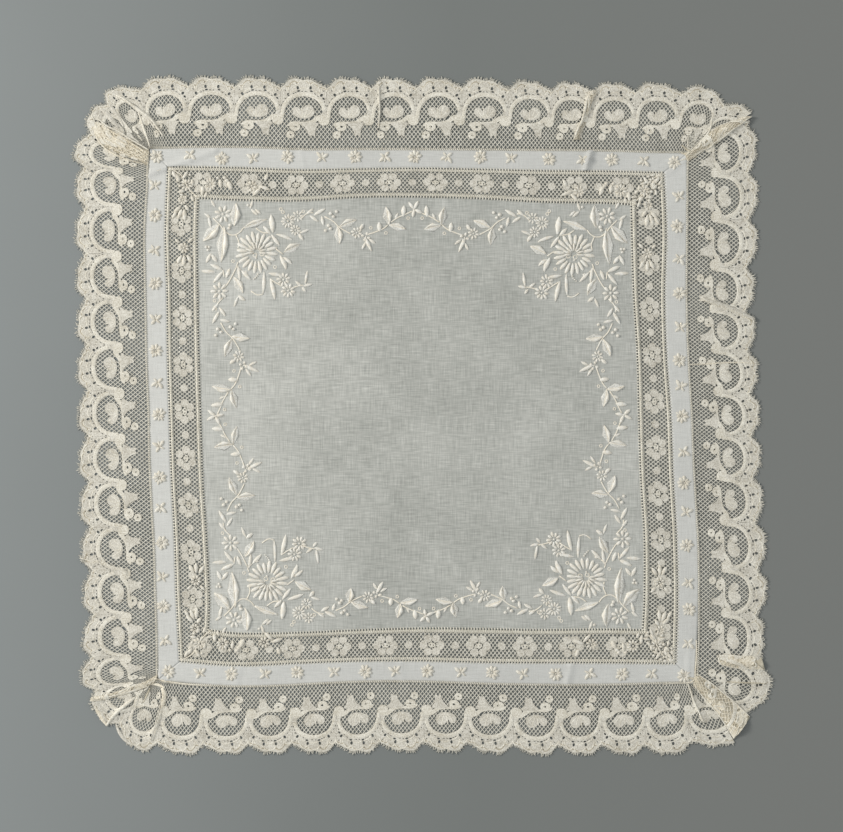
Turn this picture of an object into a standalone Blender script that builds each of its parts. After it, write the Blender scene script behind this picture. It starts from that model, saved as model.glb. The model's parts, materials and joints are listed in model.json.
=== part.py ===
"""A square linen handkerchief, laid flat: a sheer embroidered centre, a frame of net insertion, a
frame of doubled linen band and a wide scalloped lace edging that is pleated round the corners.

Metres, +Z up. The origin is on the surface under the middle of the cloth, +Y towards its top side.
Tables are in millimetres, as a rule laid on the cloth reads them.
"""

import math

import bmesh
import bpy
from mathutils import Vector

mm = 0.001

sheet = 1.0 * mm  # thickness of every layer
seam_gap = 0.3 * mm  # between neighbouring pieces
wave_height = 0.25 * mm  # the linen's own unevenness
wave_length = 92.0 * mm
wave_slant = 0.4  # how far the waves lean across the square
panel_half = 105.0 * mm  # about half the centre's width
scallop_depth = 3.2 * mm
scallop_roundness = 3.4  # higher makes broader scallops with sharper nicks
steps_per_scallop = 6
strip_steps = 40
panel_steps = 12
lace_rows = 4

# Each side is drawn as if it were the top one: "along" runs clockwise, "out" away from the middle.
side_names = ("top", "right", "bottom", "left")

# How far out each line lies at seven places along a side, in mm.
lines = ("panel", "band_in", "band_out", "lace")
side_rows = {
    "top": (
        # along, panel, band_in, band_out, lace
        (-90, 106.8, 122.1, 132.5, 166.6),
        (-60, 106.4, 121.0, 131.3, 166.0),
        (-30, 108.2, 121.5, 131.4, 165.8),
        (0, 108.3, 121.8, 131.3, 166.0),
        (30, 107.5, 121.3, 131.2, 165.7),
        (60, 105.8, 120.6, 130.9, 164.0),
        (90, 105.3, 120.4, 130.7, 163.4),
    ),
    "right": (
        (-90, 104.1, 120.5, 130.9, 165.3),
        (-60, 105.0, 119.7, 130.7, 163.4),
        (-30, 106.8, 120.5, 131.5, 164.8),
        (0, 107.6, 122.7, 133.3, 166.2),
        (30, 108.5, 123.8, 134.4, 167.0),
        (60, 110.3, 125.5, 136.3, 168.9),
        (90, 110.3, 126.1, 136.7, 169.6),
    ),
    "bottom": (
        (-90, 105.5, 121.4, 132.3, 165.9),
        (-60, 105.8, 121.4, 132.3, 166.3),
        (-30, 105.3, 121.1, 131.7, 165.2),
        (0, 105.0, 120.4, 130.7, 164.5),
        (30, 105.8, 120.5, 130.8, 165.3),
        (60, 107.1, 121.6, 132.1, 165.4),
        (90, 107.5, 122.8, 133.2, 165.8),
    ),
    "left": (
        (-90, 104.7, 120.3, 130.8, 166.0),
        (-60, 106.1, 121.2, 131.7, 167.1),
        (-30, 108.0, 122.8, 133.5, 168.0),
        (0, 109.0, 123.7, 134.1, 168.4),
        (30, 109.9, 124.6, 135.3, 168.9),
        (60, 110.4, 124.9, 135.7, 169.3),
        (90, 110.7, 125.8, 136.2, 169.7),
    ),
}

# Where the lines turn, in mm from the middle. Each corner starts the side of the same row.
corner_rows = {
    # side: (panel x, y), (band_in x, y), (band_out x, y)
    "top": ((-110.1, 107.7), (-124.7, 122.6), (-133.5, 131.9)),
    "right": ((103.8, 104.5), (119.2, 119.8), (131.2, 129.4)),
    "bottom": ((109.5, -105.8), (125.3, -121.8), (134.7, -130.9)),
    "left": ((-105.2, -105.8), (-118.7, -120.8), (-129.5, -130.1)),
}

# Runs of even lace repeats. A new run starts where a fold has taken up some of the lace.
repeat_rows = {
    # side: (middle of the first repeat along the side, pitch, repeats), in mm
    "top": ((-126.1, 22.7, 5), (-13.9, 22.6, 4), (73.9, 21.1, 3)),
    "right": ((-108.2, 23.3, 3), (-42.3, 20.9, 5), (64.0, 23.4, 2)),
    "bottom": ((-121.1, 21.4, 4), (-33.8, 21.6, 7)),
    "left": ((-108.5, 21.5, 3), (-43.8, 22.5, 8)),
}

# The lace's outer edge round the corner that starts each side, clockwise, in mm from the middle. The
# pleats make it uneven.
corner_edges = {
    "top": (
        # x, y
        (-168.4, 128.9),
        (-169.9, 140.7),
        (-168.4, 146.1),
        (-164.5, 147.1),
        (-160.5, 151.5),
        (-157.6, 155.5),
        (-153.7, 159.9),
        (-148.7, 161.9),
        (-144.8, 162.4),
        (-138.9, 161.4),
    ),
    "right": (
        (137.1, 162.1),
        (143.5, 160.6),
        (149.9, 155.5),
        (151.9, 151.5),
        (159.3, 150.8),
        (162.7, 147.1),
        (160.2, 142.2),
        (161.7, 136.3),
        (165.2, 131.9),
        (164.7, 125.0),
    ),
    "bottom": (
        (168.1, -105.3),
        (169.1, -110.0),
        (167.1, -117.1),
        (168.8, -123.0),
        (169.1, -129.2),
        (170.1, -134.8),
        (167.1, -144.6),
        (161.2, -150.6),
        (158.8, -155.0),
        (153.8, -158.9),
        (149.2, -163.8),
        (144.5, -165.1),
        (136.6, -165.3),
    ),
    "left": (
        (-112.3, -164.3),
        (-117.5, -166.8),
        (-126.6, -165.1),
        (-131.0, -163.8),
        (-136.9, -165.1),
        (-141.4, -164.3),
        (-147.3, -160.4),
        (-151.2, -155.5),
        (-156.1, -152.5),
        (-161.5, -141.9),
        (-164.5, -134.6),
        (-165.9, -128.9),
        (-165.0, -123.5),
    ),
}

# The point of each corner's edge where one side passes to the next: the end of the corner's pleat.
corner_tips = {
    "top": (-164.5, 147.1),
    "right": (162.7, 147.1),
    "bottom": (158.8, -155.0),
    "left": (-156.1, -152.5),
}

# Nicks where a fold pulls the edge in.
nick_rows = (
    # side, along, half width, depth, in mm
    ("top", 66.9, 5.0, 2.2),
    ("top", 81.0, 6.0, 1.6),
    ("right", -50.5, 3.0, 2.6),
    ("left", -72.0, 3.0, 1.8),
)

# Pleats, folds and puckers: soft ridges from one place to another, in mm.
fold_rows = (
    # start x, start y, end x, end y, half width at start, at end, height
    (-133.5, 131.9, -160.5, 147.1, 2.0, 4.0, 2.0),
    (-134.5, 128.4, -160.0, 138.7, 2.5, 7.0, 1.4),
    (-147.3, 156.5, -137.4, 149.1, 2.2, 2.2, 1.2),
    (-137.4, 149.1, -126.1, 138.3, 2.2, 1.8, 1.2),
    (-137.9, 149.6, -132.5, 132.3, 2.0, 2.0, 1.0),
    (131.2, 129.0, 144.0, 138.0, 1.6, 5.0, 2.0),
    (144.0, 138.0, 161.5, 146.0, 5.0, 3.0, 2.0),
    (-130.5, -129.4, -162.0, -139.7, 2.0, 3.0, 1.6),
    (-153.2, -149.1, -142.8, -140.7, 2.6, 2.6, 1.5),
    (-126.1, -131.4, -127.6, -141.2, 2.2, 2.6, 1.4),
    (-127.6, -141.2, -133.0, -158.4, 2.6, 2.6, 1.6),
    (-162.5, -140.7, -155.6, -153.0, 5.0, 5.0, 1.0),
    (136.1, -130.4, 157.8, -154.0, 1.8, 5.5, 2.2),
    (131.2, -132.3, 139.1, -151.0, 1.8, 1.8, 1.3),
    (148.9, -122.0, 168.0, -122.0, 2.2, 2.6, 1.5),
    (153.4, -131.4, 169.1, -131.4, 1.8, 2.0, 1.2),
    (-20.3, 164.3, -20.3, 140.7, 2.0, 2.0, 1.2),
    (75.6, 136.3, 84.0, 159.4, 1.8, 3.2, 1.8),
    (139.1, 57.1, 163.7, 47.2, 2.0, 2.4, 1.8),
    (146.0, -31.5, 166.2, -34.9, 1.8, 2.0, 1.2),
    (-167.4, -70.4, -145.8, -75.8, 2.2, 1.8, 1.4),
    (84.5, 131.4, 81.5, 121.0, 2.4, 2.2, 1.0),
    (-135.5, 118.6, -124.6, 123.0, 2.0, 2.0, 0.8),
    (-124.6, 123.0, -100.5, 131.4, 2.0, 2.0, 0.8),
    (72.0, -132.0, 75.0, -121.0, 2.4, 2.2, 0.8),
)

# sRGB colour of the lit cloth, roughness
cloth_looks = {
    "panel": ((0.74, 0.74, 0.71), 0.9),
    "insertion": ((0.78, 0.77, 0.72), 0.9),
    "band": ((0.83, 0.83, 0.81), 0.9),
    "lace": ((0.80, 0.78, 0.71), 0.88),
}


def clear_scene():
    for item in list(bpy.data.objects):
        bpy.data.objects.remove(item, do_unlink=True)


def linear(value):
    return value / 12.92 if value <= 0.04045 else ((value + 0.055) / 1.055) ** 2.4


def make_material(name):
    colour, roughness = cloth_looks[name]
    material = bpy.data.materials.new(name)
    material.use_nodes = True
    shader = material.node_tree.nodes["Principled BSDF"]
    shader.inputs["Base Color"].default_value = (*[linear(c) for c in colour], 1.0)
    shader.inputs["Roughness"].default_value = roughness
    shader.inputs["Metallic"].default_value = 0.0
    return material


def to_plan(side, along, out):
    """The plan point of a place on a side, turned clockwise from the top."""
    turned = {"top": (along, out), "right": (out, -along), "bottom": (-along, -out), "left": (-out, along)}
    return Vector(turned[side])


def to_side(side, point):
    """The opposite of to_plan: (along, out) of a plan point."""
    x, y = point
    turned = {"top": (x, y), "right": (-y, x), "bottom": (-x, -y), "left": (y, -x)}
    return turned[side]


def next_side(side):
    return side_names[(side_names.index(side) + 1) % len(side_names)]


def smooth_read(points, along):
    """Reads a smooth curve through (along, out) points, with the slopes of its neighbours."""
    last = len(points) - 1
    k = 0
    while k < last - 1 and along > points[k + 1][0]:
        k += 1
    before, start, end, after = (points[max(0, min(last, k + shift))] for shift in (-1, 0, 1, 2))
    span = end[0] - start[0]
    share = max(0.0, min(1.0, (along - start[0]) / span))
    slope_in = (end[1] - before[1]) / (end[0] - before[0]) * span
    slope_out = (after[1] - start[1]) / (after[0] - start[0]) * span
    rise = end[1] - start[1]
    curve = (slope_in + slope_out - 2.0 * rise) * share**3
    curve += (3.0 * rise - 2.0 * slope_in - slope_out) * share**2
    return start[1] + slope_in * share + curve


def line_points(side, line):
    """The rows of one line with its corners at both ends, in metres."""
    column = 1 + lines.index(line)
    rows = [(row[0] * mm, row[column] * mm) for row in side_rows[side]]
    if line == "lace":
        return rows
    start = to_side(side, corner_rows[side][column - 1])
    end = to_side(side, corner_rows[next_side(side)][column - 1])
    return [(start[0] * mm, start[1] * mm)] + rows + [(end[0] * mm, end[1] * mm)]


def line_place(side, line, share):
    """The plan point at a share of the way from a line's first corner to its last."""
    points = line_points(side, line)
    along = points[0][0] + (points[-1][0] - points[0][0]) * share
    return to_plan(side, along, smooth_read(points, along))


def soft_step(value):
    value = max(0.0, min(1.0, value))
    return value * value * (3.0 - 2.0 * value)


def fold_height(x, y):
    """How far the pleats, folds and puckers lift the cloth at a place."""
    lift = 0.0
    for x0, y0, x1, y1, half0, half1, height in fold_rows:
        start = Vector((x0, y0)) * mm
        run = Vector((x1, y1)) * mm - start
        reach = Vector((x, y)) - start
        share = reach.dot(run) / run.length_squared
        near = max(0.0, min(1.0, share))
        half = (half0 + (half1 - half0) * near) * mm
        away = (reach - run * near).length / half
        if away < 1.0:
            lift = max(lift, height * mm * (1.0 - away * away) ** 2)
    return lift


def top_height(x, y):
    turn = 2.0 * math.pi / wave_length
    wave = math.sin(turn * (x + wave_slant * y)) * math.cos(turn * (y - wave_slant * x))
    return sheet + wave_height * (1.0 + wave) / 2.0 + fold_height(x, y)


def close_solid(name, columns, material, ring=False):
    """Makes a closed sheet from columns of plan points: a top that follows the folds, over a flat base."""
    rows = len(columns[0])
    bm = bmesh.new()
    tops = [[bm.verts.new((x, y, top_height(x, y))) for x, y in column] for column in columns]
    pairs = list(zip(tops, tops[1:]))
    if ring:
        pairs.append((tops[-1], tops[0]))
    for left, right in pairs:
        for k in range(rows - 1):
            bm.faces.new((left[k], left[k + 1], right[k + 1], right[k]))
    made = bmesh.ops.extrude_face_region(bm, geom=bm.faces[:], use_keep_orig=True)["geom"]
    for item in made:
        if isinstance(item, bmesh.types.BMVert):
            item.co.z = 0.0
    bmesh.ops.recalc_face_normals(bm, faces=bm.faces[:])
    mesh = bpy.data.meshes.new(name)
    bm.to_mesh(mesh)
    bm.free()
    mesh.materials.append(material)
    piece = bpy.data.objects.new(name, mesh)
    bpy.context.scene.collection.objects.link(piece)
    return piece


def trimmed(start, end, gap):
    """Draws two facing points together by a gap at each end."""
    pull = (end - start).normalized() * gap
    return start + pull, end - pull


def make_strip(name, side, inner, outer, material):
    """A mitred strip between two lines of one side."""
    half = seam_gap / 2.0
    length = line_points(side, inner)[-1][0] - line_points(side, inner)[0][0]
    # The mitre runs at 45 degrees, so along the strip its gap is root two times as long.
    inset = half * math.sqrt(2.0) / length
    columns = []
    for k in range(strip_steps + 1):
        share = inset + (1.0 - 2.0 * inset) * k / strip_steps
        low, high = trimmed(line_place(side, inner, share), line_place(side, outer, share), half)
        columns.append([low, low.lerp(high, 0.5), high])
    return close_solid(name, columns, material)


def make_panel(material):
    """The centre: a grid whose sides follow the four panel lines, blended from both pairs of sides."""

    def place(u, v):
        low = line_place("bottom", "panel", 1.0 - u)
        high = line_place("top", "panel", u)
        near = line_place("left", "panel", v)
        far = line_place("right", "panel", 1.0 - v)
        across = low.lerp(high, v) + near.lerp(far, u)
        base = line_place("bottom", "panel", 1.0).lerp(line_place("bottom", "panel", 0.0), u)
        crown = line_place("top", "panel", 0.0).lerp(line_place("top", "panel", 1.0), u)
        return across - base.lerp(crown, v)

    shrink = 1.0 - seam_gap / 2.0 / panel_half
    columns = []
    for i in range(panel_steps + 1):
        column = [place(i / panel_steps, k / panel_steps) * shrink for k in range(panel_steps + 1)]
        columns.append(column)
    return close_solid("centre_panel", columns, material)


def scallop_middles(side):
    """The middles of a side's lace repeats, in mm along it."""
    return [first + pitch * k for first, pitch, count in repeat_rows[side] for k in range(count)]


def side_scallops(side):
    """Points (along, out) of the scalloped edge between a side's corners, in mm."""
    middles = scallop_middles(side)
    nicks = [(a + b) / 2.0 for a, b in zip(middles, middles[1:])]
    nicks = [2.0 * middles[0] - nicks[0]] + nicks + [2.0 * middles[-1] - nicks[-1]]
    reach = line_points(side, "lace")
    points = []
    for left, right in zip(nicks, nicks[1:]):
        for k in range(steps_per_scallop):
            along = left + (right - left) * k / steps_per_scallop
            dip = abs(2.0 * k / steps_per_scallop - 1.0) ** scallop_roundness
            out = smooth_read(reach, along * mm) / mm - scallop_depth / mm * dip
            for where, nick_along, half, depth in nick_rows:
                if where == side:
                    out -= depth * max(0.0, 1.0 - ((along - nick_along) / half) ** 2)
            points.append((along, out))
    return points


def rounded(points):
    """Adds the middle of each stretch, on a smooth curve through the points."""
    made = []
    last = len(points) - 1
    for k in range(last):
        before, start, end, after = (Vector(points[max(0, min(last, k + shift))]) for shift in (-1, 0, 1, 2))
        made.append(start)
        # A curve through four even points passes its middle at these shares of them.
        made.append((9.0 * (start + end) - before - after) / 16.0)
    return made + [Vector(points[-1])]


def lace_outline():
    """For each side, its outer edge from one corner's pleat to the next, in mm from the middle."""
    edges = {side: rounded(corner_edges[side]) for side in side_names}
    cuts = {}
    for side in side_names:
        tip = Vector(corner_tips[side])
        cuts[side] = min(range(len(edges[side])), key=lambda k: (edges[side][k] - tip).length)
    outline = {}
    for side in side_names:
        after = next_side(side)
        middle = [to_plan(side, along, out) for along, out in side_scallops(side)]
        outline[side] = edges[side][cuts[side] :] + middle + edges[after][: cuts[after]]
    return outline


def make_edging(material):
    """The lace edging: one ring from the band to the scalloped edge, with its pleats raised."""
    outline = lace_outline()
    columns = []
    for side in side_names:
        start = to_side(side, outline[side][0])[0]
        end = to_side(side, outline[next_side(side)][0])[0]
        for point in outline[side]:
            share = (to_side(side, point)[0] - start) / (end - start)
            low, high = trimmed(line_place(side, "band_out", share), point * mm, seam_gap / 2.0)
            columns.append([low.lerp(high, k / lace_rows) for k in range(lace_rows + 1)])
    return close_solid("lace_edging", columns, material, ring=True)


def main():
    clear_scene()
    looks = {name: make_material(name) for name in cloth_looks}
    make_panel(looks["panel"])
    for side in side_names:
        make_strip(f"insertion_{side}", side, "panel", "band_in", looks["insertion"])
        make_strip(f"band_{side}", side, "band_in", "band_out", looks["band"])
    make_edging(looks["lace"])


main()
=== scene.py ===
import json
import math
import random

import bmesh
import bpy
import numpy as np
from mathutils import Matrix, Vector
from mathutils.bvhtree import BVHTree

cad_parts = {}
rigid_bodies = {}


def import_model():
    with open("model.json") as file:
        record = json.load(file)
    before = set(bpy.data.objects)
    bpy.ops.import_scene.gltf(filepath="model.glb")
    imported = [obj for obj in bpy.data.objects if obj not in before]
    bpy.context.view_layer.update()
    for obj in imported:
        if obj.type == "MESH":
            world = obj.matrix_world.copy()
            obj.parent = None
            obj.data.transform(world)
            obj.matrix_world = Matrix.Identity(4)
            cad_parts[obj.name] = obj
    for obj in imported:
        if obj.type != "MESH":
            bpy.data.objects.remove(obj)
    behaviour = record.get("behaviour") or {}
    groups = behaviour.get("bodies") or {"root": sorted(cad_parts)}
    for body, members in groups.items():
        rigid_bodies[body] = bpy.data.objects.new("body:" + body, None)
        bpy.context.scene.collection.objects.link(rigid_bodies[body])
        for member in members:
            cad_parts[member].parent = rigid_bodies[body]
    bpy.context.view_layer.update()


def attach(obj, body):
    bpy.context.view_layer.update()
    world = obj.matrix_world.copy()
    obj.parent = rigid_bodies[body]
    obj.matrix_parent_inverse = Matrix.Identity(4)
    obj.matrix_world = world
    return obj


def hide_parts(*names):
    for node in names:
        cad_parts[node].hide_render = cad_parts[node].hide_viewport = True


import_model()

print("handkerchief: the plain model is loaded")

mm = 0.001
square = 0.492 * mm  # one square of the charts below, which count from the cloth's top left
chartMiddle = (421.3, 416.0)  # the cloth's middle on the charts
settle = 0.80 * mm  # the real cloth is thinner than the plain solid, so it lies lower
foldShare = 0.45  # and its folds rise less
random.seed(7)

# The cloth's own shape, as in the plain model, in mm
cloth = {"sheet": 1.0, "waveHeight": 0.25, "waveLength": 92.0, "waveSlant": 0.4}
sideNames = ("top", "right", "bottom", "left")
lineNames = ("panel", "bandIn", "bandOut", "lace")
sideRows = {
    "top": (
        # along, panel, bandIn, bandOut, lace
        (-90, 106.8, 122.1, 132.5, 166.6),
        (-60, 106.4, 121.0, 131.3, 166.0),
        (-30, 108.2, 121.5, 131.4, 165.8),
        (0, 108.3, 121.8, 131.3, 166.0),
        (30, 107.5, 121.3, 131.2, 165.7),
        (60, 105.8, 120.6, 130.9, 164.0),
        (90, 105.3, 120.4, 130.7, 163.4),
    ),
    "right": (
        (-90, 104.1, 120.5, 130.9, 165.3),
        (-60, 105.0, 119.7, 130.7, 163.4),
        (-30, 106.8, 120.5, 131.5, 164.8),
        (0, 107.6, 122.7, 133.3, 166.2),
        (30, 108.5, 123.8, 134.4, 167.0),
        (60, 110.3, 125.5, 136.3, 168.9),
        (90, 110.3, 126.1, 136.7, 169.6),
    ),
    "bottom": (
        (-90, 105.5, 121.4, 132.3, 165.9),
        (-60, 105.8, 121.4, 132.3, 166.3),
        (-30, 105.3, 121.1, 131.7, 165.2),
        (0, 105.0, 120.4, 130.7, 164.5),
        (30, 105.8, 120.5, 130.8, 165.3),
        (60, 107.1, 121.6, 132.1, 165.4),
        (90, 107.5, 122.8, 133.2, 165.8),
    ),
    "left": (
        (-90, 104.7, 120.3, 130.8, 166.0),
        (-60, 106.1, 121.2, 131.7, 167.1),
        (-30, 108.0, 122.8, 133.5, 168.0),
        (0, 109.0, 123.7, 134.1, 168.4),
        (30, 109.9, 124.6, 135.3, 168.9),
        (60, 110.4, 124.9, 135.7, 169.3),
        (90, 110.7, 125.8, 136.2, 169.7),
    ),
}
cornerRows = {
    # side: (panel x, y), (bandIn x, y), (bandOut x, y)
    "top": ((-110.1, 107.7), (-124.7, 122.6), (-133.5, 131.9)),
    "right": ((103.8, 104.5), (119.2, 119.8), (131.2, 129.4)),
    "bottom": ((109.5, -105.8), (125.3, -121.8), (134.7, -130.9)),
    "left": ((-105.2, -105.8), (-118.7, -120.8), (-129.5, -130.1)),
}
foldRows = (
    # start x, start y, end x, end y, half width at start, at end, height
    (-133.5, 131.9, -160.5, 147.1, 2.0, 4.0, 2.0),
    (-134.5, 128.4, -160.0, 138.7, 2.5, 7.0, 1.4),
    (-147.3, 156.5, -137.4, 149.1, 2.2, 2.2, 1.2),
    (-137.4, 149.1, -126.1, 138.3, 2.2, 1.8, 1.2),
    (-137.9, 149.6, -132.5, 132.3, 2.0, 2.0, 1.0),
    (131.2, 129.0, 144.0, 138.0, 1.6, 5.0, 2.0),
    (144.0, 138.0, 161.5, 146.0, 5.0, 3.0, 2.0),
    (-130.5, -129.4, -162.0, -139.7, 2.0, 3.0, 1.6),
    (-153.2, -149.1, -142.8, -140.7, 2.6, 2.6, 1.5),
    (-126.1, -131.4, -127.6, -141.2, 2.2, 2.6, 1.4),
    (-127.6, -141.2, -133.0, -158.4, 2.6, 2.6, 1.6),
    (-162.5, -140.7, -155.6, -153.0, 5.0, 5.0, 1.0),
    (136.1, -130.4, 157.8, -154.0, 1.8, 5.5, 2.2),
    (131.2, -132.3, 139.1, -151.0, 1.8, 1.8, 1.3),
    (148.9, -122.0, 168.0, -122.0, 2.2, 2.6, 1.5),
    (153.4, -131.4, 169.1, -131.4, 1.8, 2.0, 1.2),
    (-20.3, 164.3, -20.3, 140.7, 2.0, 2.0, 1.2),
    (75.6, 136.3, 84.0, 159.4, 1.8, 3.2, 1.8),
    (139.1, 57.1, 163.7, 47.2, 2.0, 2.4, 1.8),
    (146.0, -31.5, 166.2, -34.9, 1.8, 2.0, 1.2),
    (-167.4, -70.4, -145.8, -75.8, 2.2, 1.8, 1.4),
    (84.5, 131.4, 81.5, 121.0, 2.4, 2.2, 1.0),
    (-135.5, 118.6, -124.6, 123.0, 2.0, 2.0, 0.8),
    (-124.6, 123.0, -100.5, 131.4, 2.0, 2.0, 0.8),
    (72.0, -132.0, 75.0, -121.0, 2.4, 2.2, 0.8),
)
repeatRows = {
    # side: (middle of the first repeat along the side, pitch, repeats), in mm
    "top": ((-126.1, 22.7, 5), (-13.9, 22.6, 4), (73.9, 21.1, 3)),
    "right": ((-108.2, 23.3, 3), (-42.3, 20.9, 5), (64.0, 23.4, 2)),
    "bottom": ((-121.1, 21.4, 4), (-33.8, 21.6, 7)),
    "left": ((-108.5, 21.5, 3), (-43.8, 22.5, 8)),
}


# Plan places

def linear(value):
    return value / 12.92 if value <= 0.04045 else ((value + 0.055) / 1.055) ** 2.4


def fromChart(x, y):
    return Vector(((x - chartMiddle[0]) * square, (chartMiddle[1] - y) * square))


def toPlan(side, along, out):
    turned = {"top": (along, out), "right": (out, -along), "bottom": (-along, -out), "left": (-out, along)}
    return turned[side]


def toSide(side, x, y):
    turned = {"top": (x, y), "right": (-y, x), "bottom": (-x, -y), "left": (y, -x)}
    return turned[side]


def nextSide(side):
    return sideNames[(sideNames.index(side) + 1) % 4]


def linePoints(side, line):
    # (along, out) of one line with its corners at both ends, in mm
    column = 1 + lineNames.index(line)
    rows = [(row[0], row[column]) for row in sideRows[side]]
    if line == "lace":
        return rows
    start = toSide(side, *cornerRows[side][column - 1])
    end = toSide(side, *cornerRows[nextSide(side)][column - 1])
    return [start] + rows + [end]


def readLine(side, line, along):
    # how far out a line lies at places along its side, in mm, on the same smooth curve as the plain model
    points = linePoints(side, line)
    a = np.array([p[0] for p in points], float)
    o = np.array([p[1] for p in points], float)
    last = len(points) - 1
    along = np.asarray(along, float)
    k = np.clip(np.searchsorted(a, along, side="left") - 1, 0, last - 1)
    before, after = np.clip(k - 1, 0, last), np.clip(k + 2, 0, last)
    span = a[k + 1] - a[k]
    share = np.clip((along - a[k]) / span, 0.0, 1.0)
    slopeIn = (o[k + 1] - o[before]) / (a[k + 1] - a[before]) * span
    slopeOut = (o[after] - o[k]) / (a[after] - a[k]) * span
    rise = o[k + 1] - o[k]
    curve = (slopeIn + slopeOut - 2.0 * rise) * share**3
    curve = curve + (3.0 * rise - 2.0 * slopeIn - slopeOut) * share**2
    return o[k] + slopeIn * share + curve


def linePlace(side, line, share):
    # plan places at shares of the way along a line, in mm
    points = linePoints(side, line)
    along = points[0][0] + (points[-1][0] - points[0][0]) * np.asarray(share, float)
    x, y = toPlan(side, along, readLine(side, line, along))
    return np.stack([x, y], axis=-1)


def foldLift(x, y):
    lift = np.zeros(len(x))
    for x0, y0, x1, y1, half0, half1, height in foldRows:
        runX, runY = x1 - x0, y1 - y0
        share = ((x - x0) * runX + (y - y0) * runY) / (runX * runX + runY * runY)
        near = np.clip(share, 0.0, 1.0)
        away = np.hypot(x - x0 - runX * near, y - y0 - runY * near) / (half0 + (half1 - half0) * near)
        lift = np.maximum(lift, np.where(away < 1.0, height * (1.0 - away * away) ** 2, 0.0))
    return lift


def topHeight(x, y):
    turn = 2.0 * math.pi / cloth["waveLength"]
    wave = np.sin(turn * (x + cloth["waveSlant"] * y)) * np.cos(turn * (y - cloth["waveSlant"] * x))
    return cloth["sheet"] + cloth["waveHeight"] * (1.0 + wave) / 2.0 + foldShare * foldLift(x, y)


# Mesh helpers

def meshPoints(mesh):
    co = np.empty(len(mesh.vertices) * 3)
    mesh.vertices.foreach_get("co", co)
    return co.reshape(-1, 3)


def putPoints(mesh, co):
    mesh.vertices.foreach_set("co", co.ravel())
    mesh.update()


def layDown(mesh):
    # lifts a mesh that was made flat by the height of the cloth under each of its points
    co = meshPoints(mesh)
    co[:, 2] += topHeight(co[:, 0] / mm, co[:, 1] / mm) * mm - settle
    putPoints(mesh, co)


def newPiece(name, mesh, materials):
    mesh.name = name
    for material in materials:
        mesh.materials.append(material)
    piece = bpy.data.objects.new(name, mesh)
    bpy.context.scene.collection.objects.link(piece)
    return piece


def curveMesh(splines, width, sides=0, fill=False, thick=0.0, closed=False, smooth=False, steps=3):
    # turns lists of points into tubes, or with fill into a flat plate with holes
    curve = bpy.data.curves.new("draft", "CURVE")
    curve.dimensions = "2D" if fill else "3D"
    curve.fill_mode = "BOTH" if fill else "FULL"
    curve.resolution_u = steps
    curve.bevel_depth = width / 2.0
    curve.bevel_resolution = sides
    curve.extrude = thick / 2.0
    curve.use_fill_caps = not fill
    for points in splines:
        if smooth:
            spline = curve.splines.new("BEZIER")
            spline.bezier_points.add(len(points) - 1)
            for knot, point in zip(spline.bezier_points, points):
                knot.co = (point[0], point[1], point[2] if len(point) > 2 else 0.0)
                knot.handle_left_type = knot.handle_right_type = "AUTO"
                knot.radius = point[3] if len(point) > 3 else 1.0
        else:
            spline = curve.splines.new("POLY")
            spline.points.add(len(points) - 1)
            for knot, point in zip(spline.points, points):
                knot.co = (point[0], point[1], point[2] if len(point) > 2 else 0.0, 1.0)
        spline.use_cyclic_u = closed
    draft = bpy.data.objects.new("draft", curve)
    bpy.context.scene.collection.objects.link(draft)
    seen = draft.evaluated_get(bpy.context.evaluated_depsgraph_get())
    mesh = bpy.data.meshes.new_from_object(seen)
    bpy.data.objects.remove(draft, do_unlink=True)
    bpy.data.curves.remove(curve)
    if not fill:
        joined = bmesh.new()
        joined.from_mesh(mesh)
        bmesh.ops.remove_doubles(joined, verts=joined.verts, dist=1e-7)
        joined.to_mesh(mesh)
        joined.free()
    return mesh


def stamp(bm, mesh, place=None, look=None, smooth=True):
    # adds a copy of a mesh to bm, each of its points moved by place
    firstVert, firstFace = len(bm.verts), len(bm.faces)
    bm.from_mesh(mesh)
    bm.verts.ensure_lookup_table()
    bm.faces.ensure_lookup_table()
    if place:
        for vert in bm.verts[firstVert:]:
            vert.co = place(vert.co)
    for face in bm.faces[firstFace:]:
        face.smooth = smooth
        if look is not None:
            face.material_index = look


def toMesh(bm, name):
    mesh = bpy.data.meshes.new(name)
    bm.to_mesh(mesh)
    bm.free()
    return mesh


def flattened(scale, lift=0.0):
    return lambda co: Vector((co.x, co.y, co.z * scale + lift))


# Materials

def colourOf(red, green, blue):
    return (linear(red / 255.0), linear(green / 255.0), linear(blue / 255.0), 1.0)


def clothMaterial(name, values):
    material = bpy.data.materials.new(name)
    material.use_nodes = True
    tree = material.node_tree
    shader = tree.nodes["Principled BSDF"]
    shader.inputs["Roughness"].default_value = values["roughness"]
    shader.inputs["Sheen Weight"].default_value = values["sheen"]
    shader.inputs["Specular IOR Level"].default_value = 0.25
    return material, tree, shader


def addNode(tree, kind, values=None, **settings):
    node = tree.nodes.new(kind)
    for key, value in settings.items():
        setattr(node, key, value)
    for key, value in (values or {}).items():
        node.inputs[key].default_value = value
    return node


def scaledNoise(tree, source, scale, detail=2.0, roughness=0.55):
    # noise whose grain is 1 / scale metres each way
    turn = addNode(tree, "ShaderNodeMapping", {"Scale": scale})
    noise = addNode(tree, "ShaderNodeTexNoise", {"Scale": 1.0, "Detail": detail, "Roughness": roughness})
    tree.links.new(source, turn.inputs["Vector"])
    tree.links.new(turn.outputs["Vector"], noise.inputs["Vector"])
    return noise.outputs["Fac"]


def mixed(tree, operation, first, second, clamp=False):
    node = addNode(tree, "ShaderNodeMath", operation=operation, use_clamp=clamp)
    for socket, value in zip(node.inputs, (first, second)):
        if isinstance(value, (int, float)):
            socket.default_value = value
        else:
            tree.links.new(value, socket)
    return node.outputs["Value"]


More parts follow.
